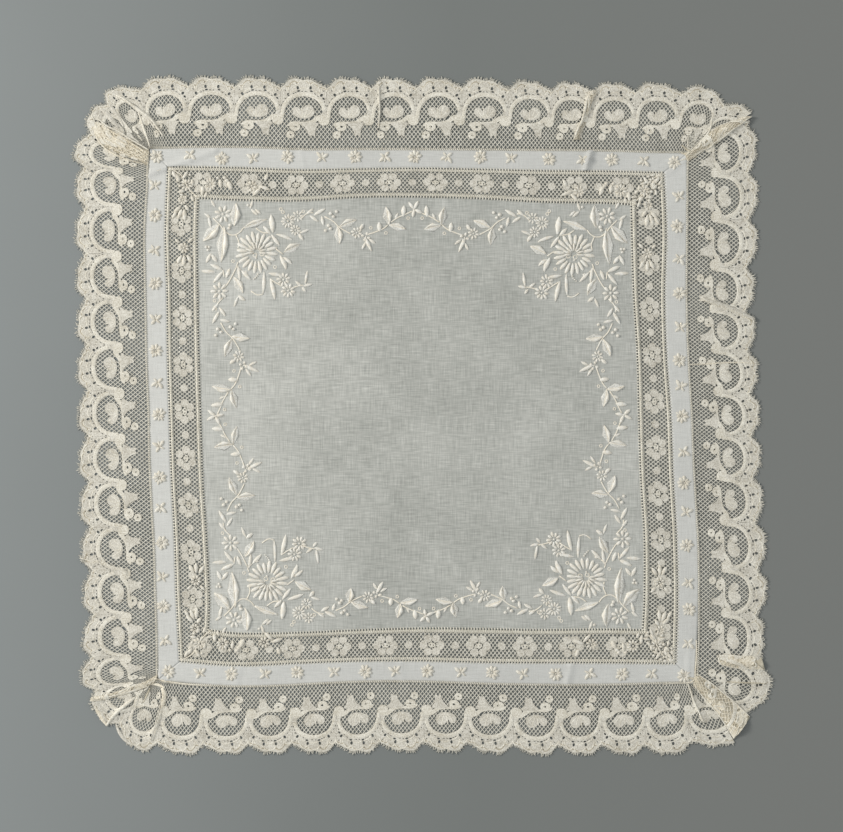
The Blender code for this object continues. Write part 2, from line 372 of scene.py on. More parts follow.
def ramp(tree, source, stops):
    node = addNode(tree, "ShaderNodeValToRGB")
    elements = node.color_ramp.elements
    while len(elements) < len(stops):
        elements.new(0.5)
    for element, (place, colour) in zip(elements, stops):
        element.position = place
        element.color = colour
    tree.links.new(source, node.inputs["Fac"])
    return node.outputs["Color"]


def bump(tree, shader, height, strength, distance):
    node = addNode(tree, "ShaderNodeBump", {"Strength": strength, "Distance": distance})
    tree.links.new(height, node.inputs["Height"])
    tree.links.new(node.outputs["Normal"], shader.inputs["Normal"])


linenLooks = {
    "panel": {
        "roughness": 0.92, "sheen": 0.1, "dark": (176, 177, 169), "light": (222, 221, 213),
        "thin": 0.70, "thick": 0.92, "bump": 0.5,
    },
    "band": {
        "roughness": 0.92, "sheen": 0.1, "dark": (197, 196, 190), "light": (220, 219, 213),
        "thin": 0.97, "thick": 1.0, "bump": 0.45,
    },
}


def makeLinen(name, values):
    material, tree, shader = clothMaterial(name, values)
    source = addNode(tree, "ShaderNodeTexCoord").outputs["Object"]
    weft = scaledNoise(tree, source, (130.0, 2500.0, 1.0), 3.0)
    warp = scaledNoise(tree, source, (2500.0, 110.0, 1.0), 3.0)
    slubs = scaledNoise(tree, source, (160.0, 900.0, 1.0), 1.0)
    clouds = scaledNoise(tree, source, (28.0, 28.0, 1.0), 2.0)
    threads = mixed(tree, "ADD", mixed(tree, "MULTIPLY", weft, 0.29), mixed(tree, "MULTIPLY", warp, 0.29))
    threads = mixed(tree, "ADD", threads, mixed(tree, "MULTIPLY", slubs, 0.12))
    body = mixed(tree, "ADD", threads, mixed(tree, "MULTIPLY", clouds, 0.18))
    # painted light: the linen is made whiter, and through the same value a little denser, towards the left hand side
    # and a little towards the right, standing in for how the lamp lights it
    across = addNode(tree, "ShaderNodeSeparateXYZ")
    tree.links.new(source, across.inputs["Vector"])
    for near, far, share in ((-0.02, -0.12, 0.075), (0.06, 0.13, 0.035)):
        paintedLightFade = addNode(tree, "ShaderNodeMapRange", {"From Min": near, "From Max": far, "To Min": 0.0, "To Max": share})
        tree.links.new(across.outputs["X"], paintedLightFade.inputs["Value"])
        body = mixed(tree, "ADD", body, paintedLightFade.outputs["Result"])
    body = mixed(tree, "ADD", body, 0.045)
    colour = ramp(tree, body, ((0.36, colourOf(*values["dark"])), (0.64, colourOf(*values["light"]))))
    tree.links.new(colour, shader.inputs["Base Color"])
    spread = addNode(
        tree, "ShaderNodeMapRange",
        {"From Min": 0.40, "From Max": 0.60, "To Min": values["thin"], "To Max": values["thick"]},
    )
    tree.links.new(body, spread.inputs["Value"])
    tree.links.new(spread.outputs["Result"], shader.inputs["Alpha"])
    # the plain weave itself, a thread each 0.42 mm
    waves = []
    for direction in ("X", "Y"):
        wave = addNode(tree, "ShaderNodeTexWave", {"Scale": 750.0, "Distortion": 0.6, "Detail": 1.0},
                       bands_direction=direction)
        tree.links.new(source, wave.inputs["Vector"])
        waves.append(wave.outputs["Fac"])
    weave = mixed(tree, "MULTIPLY", mixed(tree, "MULTIPLY", waves[0], waves[1]), 0.35)
    bump(tree, shader, mixed(tree, "ADD", threads, weave), values["bump"], 0.25 * mm)
    return material


laceLooks = {
    "net": {
        "roughness": 0.9, "sheen": 0.1, "dark": (190, 186, 172), "light": (228, 223, 209),
        "grain": 900.0, "bump": 0.3,
    },
    "toile": {
        "roughness": 0.92, "sheen": 0.1, "dark": (178, 171, 155), "light": (234, 229, 216),
        "grain": 1500.0, "bump": 0.9,
    },
    "gimp": {
        "roughness": 0.88, "sheen": 0.15, "dark": (186, 177, 157), "light": (247, 242, 228),
        "grain": 1700.0, "bump": 0.6,
    },
    "seed": {
        "roughness": 0.9, "sheen": 0.1, "dark": (176, 172, 160), "light": (246, 244, 236),
        "grain": 2300.0, "bump": 1.0,
    },
    "fold": {
        "roughness": 0.9, "sheen": 0.1, "dark": (196, 184, 160), "light": (250, 242, 223),
        "grain": 1300.0, "bump": 0.8,
    },
    # painted shade: dark brown thread for the line of holes along the scallop, where floor and shadow show through
    "shade": {
        "roughness": 0.9, "sheen": 0.1, "dark": (140, 128, 104), "light": (196, 184, 158),
        "grain": 1700.0, "bump": 0.5,
    },
    "cord": {
        "roughness": 0.88, "sheen": 0.1, "dark": (206, 200, 183), "light": (244, 239, 225),
        "grain": 1500.0, "bump": 0.5,
    },
}


def makeLace(name, values):
    material, tree, shader = clothMaterial(name, values)
    source = addNode(tree, "ShaderNodeTexCoord").outputs["Object"]
    grain = values["grain"]
    fine = scaledNoise(tree, source, (grain, grain, grain), 2.0, 0.6)
    broad = scaledNoise(tree, source, (150.0, 150.0, 150.0), 2.0)
    body = mixed(tree, "ADD", mixed(tree, "MULTIPLY", fine, 0.72), mixed(tree, "MULTIPLY", broad, 0.28))
    colour = ramp(tree, body, ((0.34, colourOf(*values["dark"])), (0.62, colourOf(*values["light"]))))
    tree.links.new(colour, shader.inputs["Base Color"])
    bump(tree, shader, fine, values["bump"], 0.25 * mm)
    return material


satinLooks = {
    "white": {"roughness": 0.66, "sheen": 0.2, "dark": (240, 231, 213), "light": (255, 253, 245), "bump": 0.6},
    "cream": {"roughness": 0.72, "sheen": 0.1, "dark": (231, 222, 203), "light": (252, 248, 236), "bump": 0.65},
}


def makeSatin(name, values):
    # embroidery cotton: fine stitches across each petal or leaf, read from its own UV map
    material, tree, shader = clothMaterial(name, values)
    coordinates = addNode(tree, "ShaderNodeTexCoord")
    wave = addNode(tree, "ShaderNodeTexWave", {"Scale": 3.2, "Distortion": 1.2, "Detail": 1.5, "Detail Scale": 2.0},
                   bands_direction="DIAGONAL")
    tree.links.new(coordinates.outputs["UV"], wave.inputs["Vector"])
    patch = scaledNoise(tree, coordinates.outputs["Object"], (700.0, 700.0, 700.0), 2.0)
    body = mixed(tree, "ADD", mixed(tree, "MULTIPLY", wave.outputs["Fac"], 0.25), mixed(tree, "MULTIPLY", patch, 0.75))
    colour = ramp(tree, body, ((0.36, colourOf(*values["dark"])), (0.66, colourOf(*values["light"]))))
    tree.links.new(colour, shader.inputs["Base Color"])
    bump(tree, shader, wave.outputs["Fac"], values["bump"], 0.10 * mm)
    return material


pleatLooks = {"roughness": 0.9, "sheen": 0.1, "dark": (164, 155, 134), "light": (220, 211, 189), "bump": 0.6}


def makePleat(name, values):
    # net lying two and three deep
    material, tree, shader = clothMaterial(name, values)
    source = addNode(tree, "ShaderNodeTexCoord").outputs["Object"]
    fine = scaledNoise(tree, source, (1400.0, 1400.0, 1400.0), 3.0, 0.65)
    broad = scaledNoise(tree, source, (260.0, 260.0, 260.0), 2.0)
    body = mixed(tree, "ADD", mixed(tree, "MULTIPLY", fine, 0.55), mixed(tree, "MULTIPLY", broad, 0.45))
    colour = ramp(tree, body, ((0.34, colourOf(*values["dark"])), (0.64, colourOf(*values["light"]))))
    tree.links.new(colour, shader.inputs["Base Color"])
    bump(tree, shader, fine, values["bump"], 0.3 * mm)
    return material


panelLinen = makeLinen("panel_linen_cloth", linenLooks["panel"])
bandLinen = makeLinen("band_linen_cloth", linenLooks["band"])
netCotton = makeLace("net_cotton", laceLooks["net"])
toileCotton = makeLace("toile_cotton", laceLooks["toile"])
gimpCotton = makeLace("gimp_cotton", laceLooks["gimp"])
cordCotton = makeLace("cord_cotton", laceLooks["cord"])
foldCotton = makeLace("folded_cotton", laceLooks["fold"])
paintedHoleShade = makeLace("painted_hole_shade", laceLooks["shade"])
satinCotton = makeSatin("satin_stitch", satinLooks["white"])
creamCotton = makeSatin("cream_stitch", satinLooks["cream"])
seedCotton = makeLace("seed_stitch", laceLooks["seed"])
pleatNet = makePleat("pleated_net", pleatLooks)
print("handkerchief: materials are ready")


# Petals, leaves and knots

def petalTemplate(around, rings):
    # a half-sunk pod with its poles on X and a UV map along and across it
    bm = bmesh.new()
    bmesh.ops.create_uvsphere(bm, u_segments=around, v_segments=rings, radius=1.0)
    bmesh.ops.rotate(bm, verts=bm.verts, matrix=Matrix.Rotation(math.radians(90.0), 3, "Y"))
    layer = bm.loops.layers.uv.new("stitch")
    for face in bm.faces:
        for loop in face.loops:
            loop[layer].uv = (loop.vert.co.x, loop.vert.co.y)
    return toMesh(bm, "petal")


petalMesh = petalTemplate(7, 6)
knotMesh = petalTemplate(6, 4)
petalRise = 0.36  # height as a share of the width


def petal(bm, base, tip, width, bulge=0.0, split=False, rise=1.0, look=None, point=0.45, widen=0.0, lobes=0.0):
    # one satin-stitched petal or leaf between two chart places
    # point sharpens both ends, widen broadens the tip, lobes makes its outline wavy
    start, end = fromChart(*base), fromChart(*tip)
    middle, half = (start + end) / 2.0, (end - start) / 2.0
    across = Vector((-half.y, half.x)).normalized()
    wide = width * square / 2.0
    high = width * square * petalRise * rise

    def place(co):
        taper = (1.0 - point * co.x * co.x) * (1.0 + widen * co.x)
        taper *= 1.0 + lobes * math.cos(6.0 * math.asin(max(-1.0, min(1.0, co.x))))
        side = co.y * taper * wide * random.uniform(0.88, 1.10) + bulge * square * (1.0 - co.x * co.x)
        z = max(co.z, -0.2) * high * random.uniform(0.86, 1.10)
        if split:
            z *= 1.0 - 0.45 * math.exp(-((co.y / 0.3) ** 2))
        flat = middle + half * co.x + across * side
        return Vector((flat.x, flat.y, z))

    stamp(bm, petalMesh, place, look)


def halfLeaf(bm, base, tip, width, hand):
    # a leaf with one half in high satin stitch and the other only seeded
    petal(bm, base, tip, width * 0.46, bulge=hand * width * 0.30, rise=1.35, point=0.75, lobes=0.2)
    petal(bm, base, tip, width * 0.78, bulge=-hand * width * 0.14, rise=0.16, look=1, point=0.4, lobes=0.2)
    start, end = Vector(base), Vector(tip)
    stems(bm, [[tuple(start), tuple(start.lerp(end, 0.5)), tuple(end)]], 0.9)


def knot(bm, where, radius, look=None):
    middle = fromChart(*where)
    size = radius * square
    stamp(bm, knotMesh, lambda co: Vector((middle.x + co.x * size, middle.y + co.y * size, max(co.z, -0.2) * size)), look)


def daisy(bm, where, inner, outer, petals, width, turn=0.0, heart=0.0, split=False, look=None, squash=1.0):
    for k in range(petals):
        angle = turn + 2.0 * math.pi * k / petals
        dx, dy = math.cos(angle), math.sin(angle) * squash
        wobble = random.uniform(0.92, 1.06)
        petal(bm, (where[0] + dx * inner, where[1] + dy * inner),
              (where[0] + dx * outer * wobble, where[1] + dy * outer * wobble), width, split=split, look=look,
              point=0.1, widen=0.22, rise=1.1)
    if heart:
        knot(bm, where, heart, look)


def stems(bm, paths, width, look=None):
    splines = [[(*fromChart(*point), 0.0) for point in path] for path in paths]
    mesh = curveMesh(splines, width * square, sides=1, smooth=True, steps=4)
    bm.verts.ensure_lookup_table()
    stamp(bm, mesh, flattened(0.9, 0.05 * mm), look)
    bpy.data.meshes.remove(mesh)


def eyelet(bm, where, radius, look=None):
    x, y = where
    ring = [(*fromChart(x + radius * math.cos(a), y + radius * math.sin(a)), 0.0)
            for a in [2.0 * math.pi * k / 8 for k in range(8)]]
    mesh = curveMesh([ring], 0.9 * square, sides=0, closed=True)
    stamp(bm, mesh, None, look)
    bpy.data.meshes.remove(mesh)


def mirrored(where, flipX, flipY, daisyPlace, stretchX=1.0, stretchY=1.0):
    # moves a place of the top left spray's chart to another corner's
    x = (where[0] - bouquet["daisy"][0]) * flipX * stretchX + daisyPlace[0]
    y = (where[1] - bouquet["daisy"][1]) * flipY * stretchY + daisyPlace[1]
    return (x, y)


# The spray of flowers in the panel's top left corner, on the chart
bouquet = {
    "daisy": (256.5, 252.0),
    "places": {"topLeft": (256.5, 252.0), "topRight": (574.0, 254.0),
               "bottomLeft": (267.5, 582.0), "bottomRight": (586.0, 578.0)},
    "bigPetals": 20, "bigInner": 8.6, "bigOuter": 20.8, "bigWidth": 3.8,
    "smallPetals": 9, "smallInner": 2.4, "smallOuter": 11.6, "smallWidth": 2.5,
    "flowers": (
        # x, y, outer radius, petals, petal width
        (223.0, 214.0, 9.0, 8, 3.2),
        (219.6, 291.0, 9.0, 8, 3.2),
        (288.0, 221.0, 7.2, 11, 2.3),
        (297.8, 216.0, 6.0, 8, 2.3),
        (295.5, 230.0, 5.8, 9, 2.2),
        (283.6, 279.5, 7.2, 9, 2.7),
        (288.4, 290.5, 7.6, 9, 2.9),
    ),
    "leaves": (
        # base x, y, tip x, y, width, bulge
        (236, 203, 234, 226, 10.0, 2.5),
        (219, 224, 203, 241, 11.0, 1.5),
        (224, 226, 221, 262, 10.4, 3.0),
        (243, 228, 267, 219, 7.0, 1.0),
        (273, 233, 271, 214, 6.0, 0.0),
        (271, 234, 263, 226, 4.0, 0.0),
        (276, 234, 293, 240, 4.0, 0.5),
        (271, 234, 280, 246, 4.0, 0.0),
        (234, 277, 243, 293, 8.5, 1.0),
        (238, 265, 240, 281, 3.5, 0.0),
        (241, 270, 251, 280, 4.0, 0.0),
        (223, 270, 210, 264, 4.5, 0.0),
        (216, 272, 201, 271, 4.0, 0.0),
        (223, 271, 213, 283, 4.0, 0.0),
        (230, 268, 226, 278, 4.0, 0.0),
        (264, 271, 263, 294, 3.5, 0.5),
        (270, 278, 275, 300, 4.6, 0.5),
        (268, 273, 284, 276, 4.0, 0.0),
        (211, 253, 206, 263, 4.0, 0.0),
        (211, 254, 217, 262, 4.0, 0.0),
        (204, 213, 211, 218, 3.0, 0.0),
        (208, 216, 211, 228, 3.5, 0.0),
        (211, 200, 215, 207, 3.0, 0.0),
        (250, 209, 253, 200, 3.0, 0.0),
        (251, 209, 258, 215, 3.5, 0.0),
        (255, 209, 261, 214, 3.0, 0.0),
        (283, 257, 286, 270, 4.0, 0.5),
        (283, 257, 292, 264, 4.0, 0.5),
        (284, 252, 300, 244, 8.5, 0.5),
        (280, 255, 287, 269, 4.8, 0.0),
        (305, 285, 307.5, 270, 3.2, 0.0),
        (303, 286, 312.5, 284, 3.2, 0.0),
        (302, 286, 295, 281, 3.0, 0.0),
        (302, 287, 306, 292, 3.2, 0.0),
        (244, 272, 248, 273, 3.0, 0.0),
    ),
    "knots": (
        # x, y, radius
        (206, 247, 1.6), (209, 247, 1.6), (208, 250, 1.6), (230, 225, 2.0), (229, 228, 1.8), (248, 205, 1.6),
        (254, 248, 1.2), (259, 248, 1.2), (256, 258, 1.1), (258, 274, 1.1), (257, 276, 1.0), (255.5, 277.5, 1.0),
        (254, 279, 0.9),
    ),
    "eyelets": (
        # x, y, radius
        (233, 261, 1.5), (281, 209, 1.5), (283, 212, 1.5), (275, 267, 1.5), (255, 255, 2.0), (262, 254, 2.0),
    ),
    "stems": (
        ((213, 218), (220, 225), (226, 232), (232, 235), (240, 232), (243, 228)),
        ((236, 235), (239, 243), (238, 248)),
        ((256, 228), (262, 232), (269, 233)),
        ((238, 262), (237, 266), (241, 270)),
        ((223, 270), (224, 277)),
        ((237, 266), (228, 283), (224, 288)),
        ((270, 279), (283, 287)), ((292, 288), (298, 286), (304, 285)),
        ((263, 294), (258, 295), (251, 291)),
        ((276, 249), (283, 254)),
    ),
    "stemWidth": 1.2,
}

# Half of the garland between two sprays, on the chart, along the top from the left
garland = {
    "middle": 414.0, "half": 157.5,
    "leaves": (
        (298, 233, 303, 240, 4.0, 0.0), (299, 233, 309, 229, 3.0, 0.0), (306, 214, 313, 208, 3.5, 0.0),
        (313, 215, 325, 208, 4.0, 0.0), (309, 215, 318, 221, 3.5, 0.0), (321, 215, 323, 225, 3.5, 0.0),
        (339, 226, 356, 219, 8.0, 0.8), (337, 226, 339, 243, 8.0, 1.0), (359, 229, 363, 223, 4.0, 0.0),
        (364, 236, 371, 251, 4.0, 0.0), (365, 241, 361, 249, 3.0, 0.0), (368, 238, 375, 243, 3.0, 0.0),
        (379, 231, 378, 221, 5.0, 0.0), (388, 224, 385, 206, 8.0, -1.2), (388, 224, 405, 228, 7.5, 0.8),
        (402, 216, 403, 204, 5.0, 0.0), (394, 218, 397, 212, 2.6, 0.0),
    ),
    "flowers": ((356, 232, 6.0, 8, 2.4), (365, 236, 5.0, 4, 3.0)),
    "knots": (
        (330, 213, 2.0), (333, 216, 1.8), (336, 211, 1.8), (328, 225, 2.0), (330, 228, 1.8), (325, 230, 1.8),
    ),
    "eyelets": ((303, 211, 1.4), (370, 227, 1.4), (385, 232, 1.4), (407, 217, 1.4)),
    "stems": (
        ((300, 219), (307, 213), (313, 212)), ((324, 216), (333, 221), (338, 226), (346, 231), (350, 233)),
        ((366, 234), (375, 231), (382, 228), (387, 224)), ((390, 221), (398, 216), (405, 213), (411, 210)),
    ),
    # the flower in the middle of each side: the places of its petals
    "midFlower": ((413, 208), ((409, 203), (416, 202), (412, 214), (419, 211))),
}


def placeSet(bm, chart, move):
    for x0, y0, x1, y1, width, bulge in chart["leaves"]:
        base, tip = move((x0, y0)), move((x1, y1))
        # a mirrored leaf bulges to its other side
        probe = Vector(move((x0 + 1.0, y0))) - Vector(move((x0, y0)))
        probe2 = Vector(move((x0, y0 + 1.0))) - Vector(move((x0, y0)))
        hand = 1.0 if probe.x * probe2.y - probe.y * probe2.x > 0.0 else -1.0
        if width >= 6.9:
            halfLeaf(bm, base, tip, width, hand if bulge > 0.0 else -hand)
        else:
            petal(bm, base, tip, width, bulge=bulge * hand, split=True)
    for x, y, outer, petals, width in chart["flowers"]:
        daisy(bm, move((x, y)), outer * 0.28, outer, petals, width, turn=x * 0.1, heart=outer * 0.16)
    for x, y, radius in chart["knots"]:
        knot(bm, move((x, y)), radius)
    for x, y, radius in chart["eyelets"]:
        eyelet(bm, move((x, y)), radius)
    stems(bm, [[move(point) for point in path] for path in chart["stems"]], bouquet["stemWidth"])


def makePanelEmbroidery():
    bm = bmesh.new()
    for corner, place in bouquet["places"].items():
        flipX = -1.0 if "Right" in corner else 1.0
        flipY = -1.0 if "bottom" in corner else 1.0
        placeSet(bm, bouquet, lambda where: mirrored(where, flipX, flipY, place))
        daisy(bm, place, bouquet["bigInner"], bouquet["bigOuter"], bouquet["bigPetals"], bouquet["bigWidth"],
              turn=0.1, split=True)
        for k in range(bouquet["smallPetals"]):
            angle = math.radians(172.0 + 196.0 * k / (bouquet["smallPetals"] - 1))
            dx, dy = math.cos(angle), math.sin(angle) * flipY
            inner, outer = bouquet["smallInner"], bouquet["smallOuter"]
            petal(bm, (place[0] + dx * inner, place[1] + dy * inner), (place[0] + dx * outer, place[1] + dy * outer),
                  bouquet["smallWidth"], rise=2.1)
    # side garlands: each half runs from a corner's daisy to the side's middle
    corners = bouquet["places"]
    sides = {
        "top": (corners["topLeft"], corners["topRight"], False, 1.0),
        "bottom": (corners["bottomLeft"], corners["bottomRight"], False, -0.82),
        "left": (corners["topLeft"], corners["bottomLeft"], True, 1.06),
        "right": (corners["topRight"], corners["bottomRight"], True, -1.0),
    }
    for first, second, upright, inward in sides.values():
        axis = 1 if upright else 0
        middle = [(first[0] + second[0]) / 2.0, (first[1] + second[1]) / 2.0]
        half = (second[axis] - first[axis]) / 2.0

        def move(where, way):
            along = (where[0] - garland["middle"]) / garland["half"] * half * way
            off = (where[1] - bouquet["daisy"][1]) * inward
            share = along / half
            if upright:
                base = middle[0] + (second[0] - first[0]) / 2.0 * share
                return (base + off, middle[1] + along)
            base = middle[1] + (second[1] - first[1]) / 2.0 * share
            return (middle[0] + along, base + off)

        for way in (1.0, -1.0):
            placeSet(bm, garland, lambda where: move(where, way))
        heart, tips = garland["midFlower"]
        for tip in tips:
            petal(bm, move(heart, 1.0), move((heart[0] + (tip[0] - heart[0]) * 1.4, heart[1] + (tip[1] - heart[1]) * 1.4), 1.0), 3.8)
        knot(bm, move(heart, 1.0), 1.3)
    mesh = toMesh(bm, "panel_embroidery")
    layDown(mesh)
    return newPiece("panel_embroidery", mesh, [satinCotton, seedCotton])


# Linen

panelCuts = {"cells": 72, "thick": 0.2, "back": 0.75}  # back: how far its edge stays behind the hem's holes, mm
bandCuts = {"cells": 230, "rows": 9, "lift": 0.08, "thick": 0.28, "inner": 0.35, "outer": 0.0}
# creases pressed into the band: start x, y, end x, y on the chart, half width in squares, height in mm
bandCreases = (
    (146, 175.5, 168, 167, 1.6, 0.60), (168, 167, 190, 161, 1.6, 0.60), (190, 161, 216, 151.5, 1.6, 0.50),
    (591, 149, 588, 160, 2.1, 1.05), (588, 160, 585, 173, 2.1, 1.00), (598, 150, 594, 172, 2.6, -0.08),
    (664, 163, 688, 155, 1.8, 0.30), (671, 172, 688, 158, 1.8, 0.30), (690, 640, 688, 676, 2.2, 0.30),
    (154, 670, 166, 682, 1.8, 0.40), (570, 663, 566, 684, 2.4, 0.30), (300, 150, 304, 168, 2.4, 0.20),
    (450, 149, 447, 167, 2.6, 0.22), (240, 664, 236, 684, 2.6, 0.24), (400, 662, 403, 682, 2.4, 0.20),
    (674, 400, 695, 396, 2.6, 0.24), (151, 430, 171, 436, 2.6, 0.22), (151, 300, 168, 297, 2.4, 0.20),
)


def makePanel():
    bm = bmesh.new()
    cells = panelCuts["cells"]
    bmesh.ops.create_grid(bm, x_segments=cells, y_segments=cells, size=0.5)
    mesh = toMesh(bm, "panel_linen")
    co = meshPoints(mesh)
    u, v = co[:, 0] + 0.5, co[:, 1] + 0.5
    low, high = linePlace("bottom", "panel", 1.0 - u), linePlace("top", "panel", u)
    near, far = linePlace("left", "panel", v), linePlace("right", "panel", 1.0 - v)
    base = linePlace("bottom", "panel", [1.0]) * (1.0 - u)[:, None] + linePlace("bottom", "panel", [0.0]) * u[:, None]
    crown = linePlace("top", "panel", [0.0]) * (1.0 - u)[:, None] + linePlace("top", "panel", [1.0]) * u[:, None]
    place = low * (1.0 - v)[:, None] + high * v[:, None] + near * (1.0 - u)[:, None] + far * u[:, None]
    place = place - base * (1.0 - v)[:, None] - crown * v[:, None]
    co[:, :2] = place * (1.0 - panelCuts["back"] / 107.0) * mm
    putPoints(mesh, co)
    layDown(mesh)
    piece = newPiece("panel_linen", mesh, [panelLinen])
    wall = piece.modifiers.new("cloth", "SOLIDIFY")
    wall.thickness = panelCuts["thick"] * mm
    wall.offset = -1.0
    return piece


def makeBand(side):
    bm = bmesh.new()
    bmesh.ops.create_grid(bm, x_segments=bandCuts["cells"], y_segments=bandCuts["rows"], size=0.5)
    mesh = toMesh(bm, f"band_linen_{side}")
    co = meshPoints(mesh)
    share, rise = co[:, 0] + 0.5, (co[:, 1] + 0.5)[:, None]
    low, high = linePlace(side, "bandIn", share), linePlace(side, "bandOut", share)
    run = (high - low) / np.linalg.norm(high - low, axis=1)[:, None]
    low, high = low + run * bandCuts["inner"], high - run * bandCuts["outer"]
    co[:, :2] = (low + (high - low) * rise) * mm
    co[:, 2] = bandCuts["lift"] * mm
    for x0, y0, x1, y1, half, height in bandCreases:
        start, end = fromChart(x0, y0), fromChart(x1, y1)
        run = np.array(end - start)
        away = co[:, :2] - np.array(start)
        near = np.clip(away @ run / (run @ run), 0.0, 1.0)
        away = np.linalg.norm(away - near[:, None] * run, axis=1) / (half * square)
        co[:, 2] += height * mm * np.exp(-away * away)
    putPoints(mesh, co)
    layDown(mesh)
    for face in mesh.polygons:
        face.use_smooth = True
    piece = newPiece(f"band_linen_{side}", mesh, [bandLinen])
    wall = piece.modifiers.new("cloth", "SOLIDIFY")
    wall.thickness = bandCuts["thick"] * mm
    wall.offset = -1.0
    return piece


# The edging: a straight length of lace is made first, and then laid along its side

edging = {
    "pitch": 45.3, "depth": 69.5,  # one repeat, in squares
    # dense ground: from one arch's foot round the inside of the arch to the other foot
    "inside": (
        (-22.8, 26.0), (-20.6, 26.4), (-19.6, 31.0), (-18.8, 36.5), (-17.2, 42.0), (-13.0, 47.6), (-7.0, 51.2),
        (0.0, 52.3), (7.0, 51.4), (13.0, 48.2), (17.0, 43.0), (18.6, 37.4), (17.0, 33.4), (19.5, 31.8),
        (22.8, 30.5),
    ),
    "scallop": (
        (22.8, 60.6), (20.4, 61.2), (17.4, 63.2), (14.4, 65.2), (11.4, 66.2), (8.0, 68.4), (4.0, 69.0), (0.0, 68.0),
        (-3.0, 69.0), (-8.0, 69.8), (-12.0, 69.2), (-15.4, 67.2), (-18.2, 63.8), (-20.6, 61.2), (-22.8, 60.6),
    ),
    "holes": (
        # x, y, half length, half width, angle
        (-14.7, 53.6, 1.8, 1.3, 125), (-13.0, 50.9, 1.6, 0.9, 35), (-5.6, 60.6, 1.8, 1.3, 100),
        (-4.7, 57.4, 1.6, 0.9, 10), (7.0, 60.6, 1.8, 1.3, 80), (7.8, 57.4, 1.6, 0.9, -10),
        (17.6, 53.4, 1.7, 1.3, 45), (19.6, 50.0, 1.5, 0.9, -45),
    ),
    # thin slots beside the arch, and up between the lobes over it
    "pins": (
        (-21.8, 43.0, 72), (-20.0, 46.4, 62), (-17.4, 49.8, 52), (-10.0, 54.9, 24), (-7.6, 56.0, 18), (-1.2, 57.2, 2),
        (2.2, 57.1, -4), (11.4, 54.6, -28), (14.2, 52.4, -40), (20.6, 46.8, -62), (21.8, 43.2, -72),
        (-6.6, 64.8, 105), (8.2, 64.8, 76), (-17.8, 57.8, 128), (20.0, 57.6, 50),
    ),
    "arch": (
        (-20.8, 31.0), (-20.4, 36.6), (-18.6, 43.0), (-14.2, 49.4), (-7.6, 53.0), (0.0, 54.2),
        (7.6, 53.2), (14.2, 49.8), (18.4, 44.8), (20.4, 39.0),
    ),
    "archWidth": 3.6, "archRise": 0.12,
    # the line of holes that follows the scallop's edge, drawn as a thin dark ridge: painted shade where floor and
    # shadow show through the holes
    "outline": (
        (-22.6, 57.8), (-20.4, 60.4), (-17.0, 61.8), (-15.0, 61.4), (-12.2, 65.2), (-8.4, 67.0), (-5.8, 65.4),
        (-2.4, 66.8), (2.6, 67.0), (6.4, 65.0), (9.2, 65.6), (12.4, 63.4), (15.2, 61.0), (18.0, 60.8), (21.0, 59.4),
        (22.6, 57.8),
    ),
    # small arcs of thicker thread between the holes
    "lobes": (
        ((-22.6, 57.0), (-20.6, 60.6), (-17.4, 61.4), (-15.2, 57.6)), ((-14.4, 57.4), (-13.6, 62.2), (-9.8, 65.0), (-6.4, 63.4)),
        ((-5.2, 63.6), (-3.6, 66.4), (0.8, 67.4), (5.2, 66.4), (6.4, 63.4)), ((7.6, 63.4), (9.8, 65.2), (14.0, 62.6), (16.6, 57.2)),
        ((18.0, 57.0), (18.8, 60.8), (21.2, 61.2), (22.6, 57.0)),
        ((-13.0, 54.4), (-9.6, 57.4), (-6.6, 58.4)), ((-3.4, 59.4), (1.2, 60.6), (5.6, 59.4)), ((9.0, 58.4), (13.6, 56.4), (16.2, 53.6)),
    ),
    "heart": (
        (10.0, 34.2), (10.8, 38.6), (8.4, 42.6), (4.8, 43.8), (1.4, 42.6), (-1.0, 39.4), (-2.6, 38.2), (-4.0, 40.4),
        (-7.2, 41.6), (-9.8, 40.2), (-10.8, 36.8), (-9.4, 33.8), (-6.0, 31.6), (-1.0, 30.4), (3.2, 30.5), (7.4, 32.0),
    ),
    "veins": (
        ((-1.0, 31.5), (-4.5, 35.5), (-7.5, 40.0)), ((0.0, 31.5), (-1.0, 36.0), (-1.5, 41.0)),
        ((1.0, 31.5), (3.0, 36.5), (4.5, 42.5)), ((2.0, 31.5), (6.0, 35.0), (9.0, 39.0)),
    ),
    "stem": (
        (-15.5, 22.4), (-8.0, 24.4), (0.0, 24.8), (8.0, 24.8), (13.0, 27.6), (17.0, 29.6), (22.0, 29.6), (22.4, 33.0),
        (16.0, 34.2), (11.0, 31.4), (6.0, 28.0), (-2.0, 27.2), (-10.0, 27.4), (-15.0, 25.2),
    ),
    "bud": (-8.5, 22.0, 5.4, 4.3), "budHole": (-8.0, 22.2, 1.4, 1.0),
    "smallBud": (-12.8, 14.2, 4.1, 3.9), "smallHole": (-12.6, 14.0, 1.0, 0.8),
    "leaf": ((-2.6, 25.6), (1.4, 21.6), (4.2, 17.4), (5.8, 12.6), (8.4, 14.2), (11.2, 12.0), (11.4, 17.0),
             (12.4, 21.6), (15.0, 26.0), (6.0, 26.6)),
    "scroll": ((14.5, 29.0), (15.6, 25.2), (19.5, 23.6), (23.5, 24.4), (25.5, 27.4), (24.0, 30.6), (19.0, 32.0)),
    "cut": 7.4, "low": 0.06, "thick": 0.15,
    "alongPitch": 4.0, "rowPitch": 2.475, "thread": 0.46, "rows": 28,
    "netEnd": 53.0, "picotPitch": 2.3, "picotReach": 3.2, "picotThread": 0.30,
}
sp = edging["pitch"] * square
depth = edging["depth"] * square

